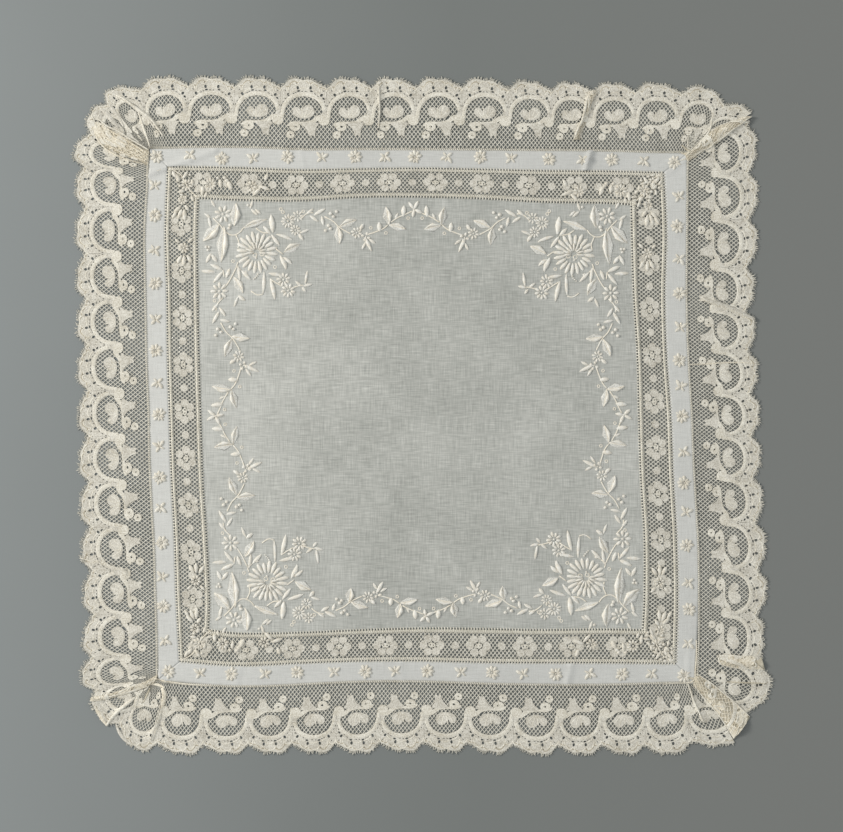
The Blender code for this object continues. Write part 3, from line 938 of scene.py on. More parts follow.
# Where the lace's rings lie beyond the even runs: middle of the inner edge, and of the outer edge. Each run
# starts and ends this many repeats from its first and last ring's middle.
runEnds = {"top": (-0.06, 0.06), "right": (-0.62, -0.45), "bottom": (-0.25, 0.12), "left": (-0.05, 0.05)}
cornerRings = {
    # side: rings before the even ones, rings after them
    "top": (((149, 152), (92, 109)), ((150, 148), (113, 88.5))), "topEnd": (((688, 152), (708, 89)), ((688.5, 154), (750, 111))),
    "right": (((688, 158), (756, 148.5)),), "rightEnd": (((699, 637), (763, 637)), ((697, 682), (769, 692)), ((694, 690), (738, 735))),
    "bottom": (((694, 683), (721.5, 745)),), "bottomEnd": (((181, 683.6), (181, 753)), ((157, 681), (133, 747)), ((157, 679.5), (97, 712))),
    "left": (((157, 678), (93, 708)), ((157, 672), (81.5, 676))), "leftEnd": (((148, 161), (75, 149)), ((149, 152), (91, 112))),
}


def laceFrames(side):
    # the plan places of each ring's inner and outer middle, in metres
    inner, outer = [], []
    for low, high in cornerRings[side]:
        inner.append(fromChart(*low))
        outer.append(fromChart(*high))
    for first, pitch, count in repeatRows[side]:
        for k in range(count):
            along = first + pitch * k
            for row, line in ((inner, "bandOut"), (outer, "lace")):
                x, y = toPlan(side, along, float(readLine(side, line, along)))
                row.append(Vector((x, y)) * mm)
    for low, high in cornerRings[side + "End"]:
        inner.append(fromChart(*low))
        outer.append(fromChart(*high))
    return inner, outer


def throughPoints(points, t):
    # a smooth curve that passes point k at t = k, and runs on straight past its ends
    rows = [2.0 * points[0] - points[1]] + points + [2.0 * points[-1] - points[-2]]
    rows = [2.0 * rows[0] - rows[1]] + rows + [2.0 * rows[-1] - rows[-2]]
    table = np.array([tuple(p) for p in rows])
    k = np.clip(np.floor(t).astype(int) + 2, 1, len(rows) - 3)
    f = (t - (k - 2))[:, None]
    a, b, c, d = table[k - 1], table[k], table[k + 1], table[k + 2]
    return 0.5 * (2.0 * b + (c - a) * f + (2.0 * a - 5.0 * b + 4.0 * c - d) * f**2 + (3.0 * b - a - 3.0 * c + d) * f**3)


def layAlong(mesh, side):
    co = meshPoints(mesh)
    inner, outer = laceFrames(side)
    t = co[:, 0] / sp
    low, high = throughPoints(inner, t), throughPoints(outer, t)
    co[:, :2] = low + (high - low) * (co[:, 1] / depth)[:, None]
    putPoints(mesh, co)
    layDown(mesh)


def ovalRing(x, y, long, wide, angle=0.0, count=8):
    c, s = math.cos(math.radians(angle)), math.sin(math.radians(angle))
    ring = []
    for k in range(count):
        a = 2.0 * math.pi * k / count
        p, q = long * math.cos(a), wide * math.sin(a)
        ring.append(((x + p * c - q * s) * square, (y + p * s + q * c) * square))
    return ring


def scaled(points):
    return [(x * square, y * square) for x, y in points]


def roundedLoop(points, steps=3):
    # a closed smooth loop through points, as a list of points
    made = []
    count = len(points)
    for k in range(count):
        a, b, c, d = (Vector(points[(k + shift) % count]) for shift in (-1, 0, 1, 2))
        for i in range(steps):
            f = i / steps
            p = 0.5 * (2.0 * b + (c - a) * f + (2.0 * a - 5.0 * b + 4.0 * c - d) * f**2 + (3.0 * b - a - 3.0 * c + d) * f**3)
            made.append(tuple(p))
    return made


def plate(bm, splines, low, high, look, cut=None):
    # a flat plate with holes, cut into cells so that it can follow the folds
    mesh = curveMesh(splines, 0.0, fill=True, thick=high - low, closed=True)
    part = bmesh.new()
    part.from_mesh(mesh)
    bpy.data.meshes.remove(mesh)
    bmesh.ops.remove_doubles(part, verts=part.verts, dist=1e-7)
    if cut:
        for axis in (0, 1):
            places = [vert.co[axis] for vert in part.verts]
            place = math.floor(min(places) / cut) * cut + cut
            while place < max(places):
                point, normal = [0.0, 0.0, 0.0], [0.0, 0.0, 0.0]
                point[axis], normal[axis] = place, 1.0
                bmesh.ops.bisect_plane(part, geom=part.verts[:] + part.edges[:] + part.faces[:], dist=1e-7,
                                       plane_co=point, plane_no=normal)
                place += cut
    bmesh.ops.translate(part, verts=part.verts, vec=(0.0, 0.0, (low + high) / 2.0))
    done = toMesh(part, "plate")
    stamp(bm, done, None, look, smooth=False)
    bpy.data.meshes.remove(done)


def ridge(bm, paths, width, rise, lift, look, sides=1, smooth=True, steps=3):
    mesh = curveMesh(paths, width, sides=sides, smooth=smooth, steps=steps)
    stamp(bm, mesh, flattened(rise / (width / 2.0), lift), look)
    bpy.data.meshes.remove(mesh)


def makeRepeat():
    # one repeat of the lace without its net, flat; looks: 0 net, 1 toile, 2 gimp, 3 the outline's painted shade
    bm = bmesh.new()
    low, cut = edging["low"] * mm, edging["cut"] * square
    outline = scaled(edging["inside"] + edging["scallop"])
    holes = [ovalRing(x, y, a, b, turn) for x, y, a, b, turn in edging["holes"]]
    holes += [ovalRing(x, y, 1.1, 0.38, turn, 6) for x, y, turn in edging["pins"]]
    top = low + edging["thick"] * mm
    plate(bm, [outline] + holes, low, top, 1, cut)
    plate(bm, [roundedLoop(scaled(edging["heart"]), 2)], low, top + 0.04 * mm, 1, cut)
    plate(bm, [roundedLoop(scaled(edging["stem"]), 2)], low, top + 0.02 * mm, 2, cut)
    plate(bm, [ovalRing(*edging["bud"], count=12), ovalRing(*edging["budHole"])], low, top + 0.05 * mm, 2)
    plate(bm, [ovalRing(*edging["smallBud"], count=10), ovalRing(*edging["smallHole"])], low, top + 0.04 * mm, 2)
    plate(bm, [roundedLoop(scaled(edging["leaf"]), 2)], low, top + 0.03 * mm, 1, cut)
    plate(bm, [roundedLoop(scaled(edging["scroll"]), 2)], low, top + 0.05 * mm, 2, cut)
    flat = bm.copy()
    ridge(bm, [scaled(edging["arch"])], edging["archWidth"] * square, edging["archRise"] * mm, top, 2)
    ridge(bm, [scaled(path) for path in edging["lobes"]], 1.4 * square, 0.15 * mm, top, 2, sides=0)
    # painted shade: the outline is a thin dark ridge standing for its line of holes
    ridge(bm, [scaled(edging["outline"])], 0.75 * square, 0.07 * mm, top, 3, sides=0)
    ridge(bm, [scaled(path) for path in edging["veins"]], 1.3 * square, 0.08 * mm, top + 0.04 * mm, 2, sides=0)
    return toMesh(bm, "repeat"), flat


def netThreads(first, last, rows, alongPitch, rowPitch, isOpen, weave=0.04 * mm):
    # the lattice's diagonal threads between two places along the lace, in lists of points
    paths = []
    for way in (0.5, -0.5):
        reach = rows * 0.5
        for column in range(int(first / alongPitch - reach) - 1, int(last / alongPitch + reach) + 2):
            spots = [((column + way * row) * alongPitch, row * rowPitch) for row in range(rows + 1)]
            inside = [first <= x <= last for x, y in spots]
            free = [within and isOpen(x, y) for (x, y), within in zip(spots, inside)]
            path = []
            for row, (x, y) in enumerate(spots):
                # a thread runs on one step under the toile
                near = free[max(0, row - 1)] or free[row] or free[min(rows, row + 1)]
                if near and inside[row]:
                    z = weave * (1.0 if (row % 2 == 0) == (way > 0.0) else -1.0)
                    path.append((x + random.uniform(-0.04, 0.04) * mm, y + random.uniform(-0.04, 0.04) * mm, z))
                    continue
                if len(path) > 1:
                    paths.append(path)
                path = []
            if len(path) > 1:
                paths.append(path)
    return paths


def straightLace(first, last, firstRepeat, lastRepeat):
    # a straight flat length of the lace
    def isOpen(x, y):
        # the net stays where no toile lies over it
        u = (x + sp / 2.0) % sp - sp / 2.0
        if y > edging["netEnd"] * square:
            return False
        return repeatTree.ray_cast(Vector((u, y, 0.01)), Vector((0.0, 0.0, -1.0)))[0] is None

    bm = bmesh.new()
    paths = netThreads(first, last, edging["rows"], edging["alongPitch"] * square, edging["rowPitch"] * square, isOpen)
    net = curveMesh(paths, edging["thread"] * mm, sides=0)
    stamp(bm, net, flattened(0.55, 0.02 * mm), 0)
    bpy.data.meshes.remove(net)
    for k in range(firstRepeat, lastRepeat + 1):
        stamp(bm, repeatMesh, lambda co: Vector((co.x + k * sp, co.y, co.z)), None, False)
    trimEnds(bm, first, last)
    return bm


def makeEdging(side):
    inner, outer = laceFrames(side)
    count = len(inner)
    first, last = runEnds[side][0] * sp, (count - 1 + runEnds[side][1]) * sp
    mesh = toMesh(straightLace(first, last, -1, count), f"edging_lace_{side}")
    layAlong(mesh, side)
    lace = newPiece(f"edging_lace_{side}", mesh, [netCotton, toileCotton, gimpCotton, paintedHoleShade])
    return lace, makeEdgingTrim(side, first, last, count)


def trimEnds(bm, first, last):
    for place, way in ((first, -1.0), (last, 1.0)):
        bmesh.ops.bisect_plane(bm, geom=bm.verts[:] + bm.edges[:] + bm.faces[:], dist=1e-7, clear_outer=True,
                               plane_co=(place, 0.0, 0.0), plane_no=(way, 0.0, 0.0))


def makeEdgingTrim(side, first, last, count):
    bm = bmesh.new()
    # picots: uneven little loops and thread ends along the scallops
    loops = []
    edge = scaled(edging["scallop"][::-1])
    for k in range(-1, count + 1):
        for (x0, y0), (x1, y1) in zip(edge, edge[1:]):
            length = math.hypot(x1 - x0, y1 - y0)
            steps = max(1, round(length / (edging["picotPitch"] * square)))
            for i in range(steps):
                f = (i + random.uniform(0.2, 0.8)) / steps
                x, y = x0 + (x1 - x0) * f + k * sp, y0 + (y1 - y0) * f
                nx, ny = -(y1 - y0) / length, (x1 - x0) / length
                reach = edging["picotReach"] * square * random.uniform(0.55, 1.25)
                lean = random.uniform(-0.6, 1.0) * square
                half = random.uniform(0.15, 0.55) * square
                z = [random.uniform(0.02, 0.16) * mm for _ in range(5)]
                tx, ty = x + nx * reach + lean, y + ny * reach
                sink = 0.8 * square
                loops.append([(x - half * 1.6, y - sink, z[0]), (x - half + lean * 0.6, y + ny * reach * 0.6, z[1]),
                              (tx, ty, z[2]), (x + half + lean * 0.6, y + ny * reach * 0.6, z[3]),
                              (x + half * 1.6, y - sink, z[4])])
    loops = [loop for loop in loops if first <= loop[2][0] <= last]
    picots = curveMesh(loops, edging["picotThread"] * mm, sides=0)
    stamp(bm, picots, None, 0)
    rim = [[(x + k * sp, y - 0.5 * square, 0.1 * mm) for x, y in edge] for k in range(count)]
    rim = [path for path in rim if path[0][0] >= first - sp / 2.0 and path[-1][0] <= last + sp / 2.0]
    cord = curveMesh(rim, 0.3 * mm, sides=0)
    stamp(bm, cord, None, 0)
    bpy.data.meshes.remove(cord)
    trimEnds(bm, first, last)
    bpy.data.meshes.remove(picots)
    # whipped seam along the band
    seam = []
    steps = int((last - first) / (0.9 * mm))
    for k in range(steps):
        x = first + (last - first) * k / steps
        seam.append([(x, -0.4 * mm, 0.1 * mm), (x + 0.36 * mm, 0.0, 0.42 * mm), (x + 0.66 * mm, 0.5 * mm, 0.1 * mm)])
    whip = curveMesh(seam, 0.55 * mm, sides=0)
    stamp(bm, whip, None, 1)
    bpy.data.meshes.remove(whip)
    mesh = toMesh(bm, f"edging_trim_{side}")
    layAlong(mesh, side)
    return newPiece(f"edging_trim_{side}", mesh, [netCotton, cordCotton])


# The insertion: a straight length again, from the panel (0) out to the band

insertion = {
    "width": 13.2, "alongPitch": 4.0, "rowPitch": 2.125, "thread": 0.48, "rows": 12,
        # along of the first rosette on each side, and their pitch, in mm
    "rosettes": {"top": (-107.4, 22.88), "right": (-97.9, 22.69), "bottom": (-96.8, 22.88), "left": (-90.0, 23.06)},
    "hemPitch": 1.45, "innerCord": 0.65, "outerCord": 0.85,
}


def insertionPlace(side, along, w):
    # plan place at w mm out from the panel line, in mm
    low, high = readLine(side, "panel", along), readLine(side, "bandIn", along)
    return toPlan(side, along, low + (high - low) * (w / insertion["width"]))


rosette = {
    # x, y, half length, half width of each petal, in squares from the middle
    "petals": ((-8.5, 0.2, 4.0, 3.7), (8.5, -0.2, 4.0, 3.7), (-4.3, 5.3, 4.1, 3.3), (4.0, 5.6, 4.2, 3.2),
               (-4.0, -5.6, 4.2, 3.2), (4.3, -5.3, 4.1, 3.3)),
    "heart": (0.0, 0.0, 3.6, 1.9), "pinholes": ((-1.6, 0.1), (1.6, -0.1)), "pinhole": 0.8,
    "low": 0.06, "top": 0.22,
}


def makeRosette():
    bm = bmesh.new()
    low, top = rosette["low"] * mm, rosette["top"] * mm
    for x, y, a, b in rosette["petals"]:
        plate(bm, [ovalRing(x, y, a, b, 0.0, 12)], low, top, 1)
        rim = [(p[0], p[1], 0.0) for p in ovalRing(x, y, a - 0.6, b - 0.6, 0.0, 10)]
        ridge(bm, [rim + rim[:1]], 1.1 * square, 0.05 * mm, top, 1, sides=0, smooth=False)
    holes = [ovalRing(x, y, rosette["pinhole"], rosette["pinhole"], 0.0, 6) for x, y in rosette["pinholes"]]
    plate(bm, [ovalRing(*rosette["heart"], count=14)] + holes, low, top + 0.03 * mm, 2)
    return toMesh(bm, "rosette")


def makeInsertion(side, rosetteMesh):
    start, end = linePoints(side, "bandIn")[0][0], linePoints(side, "bandIn")[-1][0]
    startIn, endIn = linePoints(side, "panel")[0][0], linePoints(side, "panel")[-1][0]
    width = insertion["width"] * mm

    def isOpen(x, y):
        w = y / width
        return (startIn + (start - startIn) * w) * mm <= x <= (endIn + (end - endIn) * w) * mm

    bm = bmesh.new()
    paths = netThreads(start * mm, end * mm, insertion["rows"], insertion["alongPitch"] * square,
                       insertion["rowPitch"] * square, isOpen)
    net = curveMesh(paths, insertion["thread"] * mm, sides=0)
    stamp(bm, net, flattened(0.55, 0.02 * mm), 0)
    bpy.data.meshes.remove(net)
    # rosettes with a small oval midway
    along, pitch = (value * mm for value in insertion["rosettes"][side])
    while along < (end - 6.0) * mm:
        if along > (start + 6.0) * mm:
            stamp(bm, rosetteMesh, lambda co: Vector((co.x + along, co.y + width / 2.0, co.z)), None, False)
        middle = (along + pitch / 2.0) / square
        if (start + 6.0) * mm < middle * square < (end - 6.0) * mm:
            plate(bm, [ovalRing(middle, width / 2.0 / square, 4.0, 3.4, 0.0, 10)], rosette["low"] * mm, rosette["top"] * mm, 1)
        along += pitch
    lace = bendInsertion(bm, f"insertion_lace_{side}", side, [netCotton, toileCotton, gimpCotton])
    bm = bmesh.new()
    # hem cords on both sides, and the bars between the hem's holes
    cords = []
    for w, a, b in ((insertion["innerCord"], startIn, endIn),
                    (insertion["width"] - insertion["outerCord"], start, end)):
        slant = (start - startIn) * w / insertion["width"]
        first = (startIn + slant) if w < 5.0 else start + 1.0
        final = (endIn - slant) if w < 5.0 else end - 1.0
        steps = int((final - first) / 0.92)
        for k in range(steps):
            x = (first + (final - first) * k / steps) * mm
            cords.append([(x, (w - 0.5) * mm, 0.1 * mm), (x + 0.45 * mm, w * mm, 0.42 * mm),
                          (x + 0.9 * mm, (w + 0.5) * mm, 0.1 * mm)])
    mesh = curveMesh(cords, 0.62 * mm, sides=0)
    stamp(bm, mesh, None, 0)
    bpy.data.meshes.remove(mesh)
    runs = []
    for w, a, b in ((insertion["innerCord"], startIn, endIn), (insertion["width"] - insertion["outerCord"], start, end)):
        for off in (-0.32, 0.32):
            steps = 60
            runs.append([((a + (b - a) * k / steps) * mm, (w + off) * mm, 0.05 * mm) for k in range(steps + 1)])
    mesh = curveMesh(runs, 0.55 * mm, sides=0)
    stamp(bm, mesh, None, 0)
    bpy.data.meshes.remove(mesh)
    bars = []
    for w0, w1, a, b in ((-0.9, 0.4, startIn, endIn), (insertion["width"] - 0.5, insertion["width"] + 0.6, start, end)):
        count = int((b - a) / insertion["hemPitch"])
        for k in range(count):
            x = (a + (b - a) * (k + 0.5) / count) * mm
            bars.append([(x, w0 * mm, 0.12 * mm), (x, (w0 + w1) / 2.0 * mm, 0.2 * mm), (x, w1 * mm, 0.12 * mm)])
    mesh = curveMesh(bars, 0.68 * mm, sides=0)
    stamp(bm, mesh, flattened(0.7), 0)
    bpy.data.meshes.remove(mesh)
    return lace, bendInsertion(bm, f"insertion_hem_{side}", side, [cordCotton])


def bendInsertion(bm, name, side, materials):
    done = toMesh(bm, name)
    co = meshPoints(done)
    x, y = insertionPlace(side, co[:, 0] / mm, co[:, 1] / mm)
    co[:, 0], co[:, 1] = x * mm, y * mm
    putPoints(done, co)
    layDown(done)
    return newPiece(name, done, materials)


# Sprigs on the band and sprays over the insertion's corners

bandSprigs = {
    # daisies and sprigs on each side, on the chart
    "daisies": (
        (157, 156), (222, 158), (287, 157), (355, 157), (415, 157), (481, 157), (549, 159.5), (612, 160), (675, 162.5),
        (678, 226), (680, 294), (680, 360), (682, 416), (684.5, 483), (687, 546), (689, 610), (684.5, 676),
        (168, 672), (231, 674), (297, 673), (365, 672), (427, 671), (492, 673), (556, 674), (622, 674),
        (154.5, 215), (155, 283), (155.5, 351), (159, 415), (159.5, 478), (161.5, 543), (163.5, 606),
    ),
    "sprigs": (
        (190, 155), (253, 158), (322, 157), (385, 157), (447, 157), (511, 158), (583, 160), (644, 161),
        (679, 196), (679.5, 259), (680.5, 327), (681, 386), (684, 452), (686.5, 512), (688.5, 583), (688.5, 644),
        (200, 673), (265, 674), (334, 672), (395, 671), (461, 672), (523, 674), (590, 674), (652, 674),
        (154.5, 185), (154.5, 250), (155.5, 319), (157.5, 383), (159, 446), (160.5, 508), (162, 577), (165, 641),
    ),
    # each daisy: a fan of petals, with a tuft of leaves on its other side
    "fan": 6, "fanSpread": 3.5, "inner": 1.2, "outer": 7.4, "petalWidth": 3.5,
    "tuft": ((-0.6, 5.6, 3.0), (0.0, 7.2, 2.8), (0.65, 6.0, 3.0)),
    "leaves": ((-0.4, 0.8, -5.8, -5.2, 3.8), (0.4, 0.8, 6.2, -4.0, 3.8), (0.0, 0.6, 0.8, -5.2, 2.4),
               (0.0, 0.6, -4.6, 5.2, 3.4), (0.0, 0.6, 4.6, 4.4, 2.4)),
}


def makeBandSprigs():
    bm = bmesh.new()
    for x, y in bandSprigs["daisies"]:
        turn = random.uniform(0.0, 2.0 * math.pi)
        inner, outer = bandSprigs["inner"], bandSprigs["outer"]
        for k in range(bandSprigs["fan"]):
            angle = turn + bandSprigs["fanSpread"] * (k / (bandSprigs["fan"] - 1) - 0.5)
            dx, dy = math.cos(angle), math.sin(angle)
            petal(bm, (x + dx * inner, y + dy * inner), (x + dx * outer, y + dy * outer), bandSprigs["petalWidth"],
                  point=0.2, widen=0.15, rise=1.15)
        for lean, reach, width in bandSprigs["tuft"]:
            dx, dy = math.cos(turn + math.pi + lean), math.sin(turn + math.pi + lean)
            petal(bm, (x + dx, y + dy), (x + dx * reach, y + dy * reach), width)
        knot(bm, (x, y), 1.0)
    for x, y in bandSprigs["sprigs"]:
        turn = random.choice((0.0, math.pi)) + random.uniform(-0.3, 0.3)
        c, s = math.cos(turn), math.sin(turn)
        for x0, y0, x1, y1, width in bandSprigs["leaves"]:
            petal(bm, (x + x0 * c - y0 * s, y + x0 * s + y0 * c), (x + x1 * c - y1 * s, y + x1 * s + y1 * c), width)
    mesh = toMesh(bm, "band_sprigs")
    co = meshPoints(mesh)
    co[:, 2] += 0.15 * mm
    putPoints(mesh, co)
    layDown(mesh)
    return newPiece("band_sprigs", mesh, [creamCotton])


# The sprays, in squares from the insertion's outer corner: along the top or bottom, and down a side
cornerSpray = {
    "mitre": ((1, 1), (7, 4), (13, 8), (17, 15), (21, 22), (27, 28), (31, 31)), "mitreWidth": 1.2, "widen": 1.2,
    "middle": {
        "flowers": ((19, 18, 6.2, 9, 2.3),),
        "leaves": (
            (15, 12, 20, 4, 3.0), (4, 4, 9, 11, 3.4), (8, 7, 12, 14, 3.2), (12, 15, 8, 12, 3.0), (24, 12, 25, 19, 2.8),
            (17, 24, 10, 25, 3.2), (23, 28, 26, 35, 2.8), (26, 24, 33, 25, 2.6),
        ),
        "knots": ((12, 19, 1.8), (22, 8, 1.5)),
    },
    # more petals over the two right hand corners
    "dense": {
        "flowers": ((10.5, 9.0, 4.6, 7, 2.3),),
        "leaves": (
            (1, 4, 6, 2, 2.8), (2, 8, 5, 13, 2.8), (8, 2, 13, 3, 2.8), (6, 12, 11, 17, 3.0), (15, 7, 19, 11, 2.8),
            (20, 24, 25, 29, 3.0), (13, 22, 18, 26, 2.8), (25, 17, 29, 22, 2.8), (17, 10, 23, 12, 2.8),
            (8, 17, 7, 23, 2.8), (27, 27, 31, 29, 2.6), (3, 2, 8, 5, 2.6),
        ),
        "knots": ((15, 4, 1.6), (4, 15, 1.6), (28, 31, 1.6)),
    },
    "across": {
        "flowers": ((42.6, 17.6, 6.6, 10, 2.4), (84.0, 19.0, 6.0, 8, 2.4)),
        "leaves": (
            (35, 19, 34, 29, 3.6), (39, 25, 37, 31, 3.0), (52, 12, 53, 21, 3.4), (57, 12, 61, 15, 3.6), (60, 14, 64, 23, 4.2),
            (85, 29, 93, 21, 3.4), (97, 14, 100, 7, 3.6), (91, 19, 103, 23, 3.4),
        ),
        "knots": ((50, 11, 1.8), (57, 11, 2.0)),
    },
    "down": {
        "flowers": ((15.0, 33.0, 5.0, 8, 2.3), (16.0, 81.0, 5.6, 8, 2.4)),
        "leaves": (
            (17, 38, 21, 44, 3.4), (13, 39, 6, 46, 3.6), (14, 42, 10, 52, 3.8), (16, 42, 17, 54, 4.0), (9, 44, 4, 52, 3.0),
            (14, 88, 9, 97, 3.8), (16, 88, 16, 99, 3.8), (19, 88, 24, 96, 3.6), (20, 76, 25, 71, 3.0), (12, 76, 7, 72, 2.8),
        ),
        "knots": ((14, 28, 1.8), (18, 30, 1.6)),
    },
}


def makeCornerSprays():
    bm = bmesh.new()
    for corner in sideNames:
        x, y = cornerRows[corner][1]
        place = (chartMiddle[0] + x * mm / square, chartMiddle[1] - y * mm / square)
        flipX = 1.0 if x < 0.0 else -1.0
        flipY = 1.0 if y > 0.0 else -1.0

        def move(where):
            return (place[0] + where[0] * flipX, place[1] + where[1] * flipY)

        for part in ("middle", "across", "down") + (("dense",) if x > 0.0 else ()):
            spray = cornerSpray[part]
            for fx, fy, outer, petals, width in spray["flowers"]:
                daisy(bm, move((fx, fy)), outer * 0.28, outer, petals, width * 1.15, turn=0.3, heart=outer * 0.18)
            for x0, y0, x1, y1, width in spray["leaves"]:
                petal(bm, move((x0, y0)), move((x1, y1)), width * cornerSpray["widen"], split=width > 3.5)
            for kx, ky, radius in spray["knots"]:
                knot(bm, move((kx, ky)), radius)
        stems(bm, [[move(point) for point in cornerSpray["mitre"]]], cornerSpray["mitreWidth"])
    mesh = toMesh(bm, "corner_sprays")
    co = meshPoints(mesh)
    co[:, 2] += 0.25 * mm
    putPoints(mesh, co)
    layDown(mesh)
    return newPiece("corner_sprays", mesh, [creamCotton])


# Pleats: a strip of the lace folded over the rest, between two edges on the chart
pleats = {
    "topLeft": {
        "first": ((97, 121), (105, 126), (113, 131), (122, 136), (131, 141), (140, 147), (149, 151)),
        "second": ((93, 129), (97, 140), (105, 149), (116, 153), (128, 157), (139, 161), (148, 165)),
        "lace": (15.0, 31.0, 60.0, 0.0), "dome": 0.3,
    },
    "topRight": {
        "first": ((752, 116), (742, 117.5), (733, 121), (723, 124), (714, 128.5), (706, 135.5), (699, 142.5), (692, 150),
                  (684, 152)),
        "second": ((752, 116.5), (745, 120.5), (738, 126), (730, 133), (721, 140.5), (711, 147.5), (702, 152),
                   (694, 157.5), (688, 162)),
        "lace": (-15.0, 2.0, 66.0, 0.0), "dome": 0.5,
    },
    "bottomRight": {
        "first": ((697, 675), (706, 679.5), (714, 685), (721, 690.5), (729, 698), (737, 705), (744, 711), (750, 718)),
        "second": ((693, 685), (698, 691), (705, 699.5), (712, 707), (718, 714.5), (724, 723.5), (729.5, 732.5),
                   (734, 739.5)),
        "lace": (-17.0, 2.0, 0.0, 69.0), "dome": 0.6,
    },
    "bottomRightLap": {
        "first": ((719, 655), (730, 654.5), (742, 656), (752, 656), (762, 658)),
        "second": ((720, 664), (729, 667), (741, 668.5), (752, 669), (765, 670)),
        "lace": (-27.0, -14.0, 24.0, 69.0), "dome": 0.45,
    },
    "bottomLeft": {
        "first": ((157, 675), (147, 680.5), (138, 684.5), (127, 688), (115, 692), (103, 695.5), (91, 697)),
        "second": ((158, 681), (149, 686), (139, 690), (128, 693.5), (115, 697.5), (102, 700.5), (90, 701.5)),
        "lace": (2.0, 10.0, 0.0, 69.0), "dome": 0.15,
    },
    "top": {
        "first": ((573, 140), (577, 130), (582, 120), (585, 108), (587, 97), (592, 90.5)),
        "second": ((580, 139.5), (583, 130.5), (587, 121), (590, 109), (594, 98), (600, 90.5)),
        "lace": (12.0, 24.0, 0.0, 64.0), "dome": 0.25,
    },
}
pleatCuts = {"along": 30, "across": 8, "lift": 0.14, "strip": 0.14, "thick": 0.25}

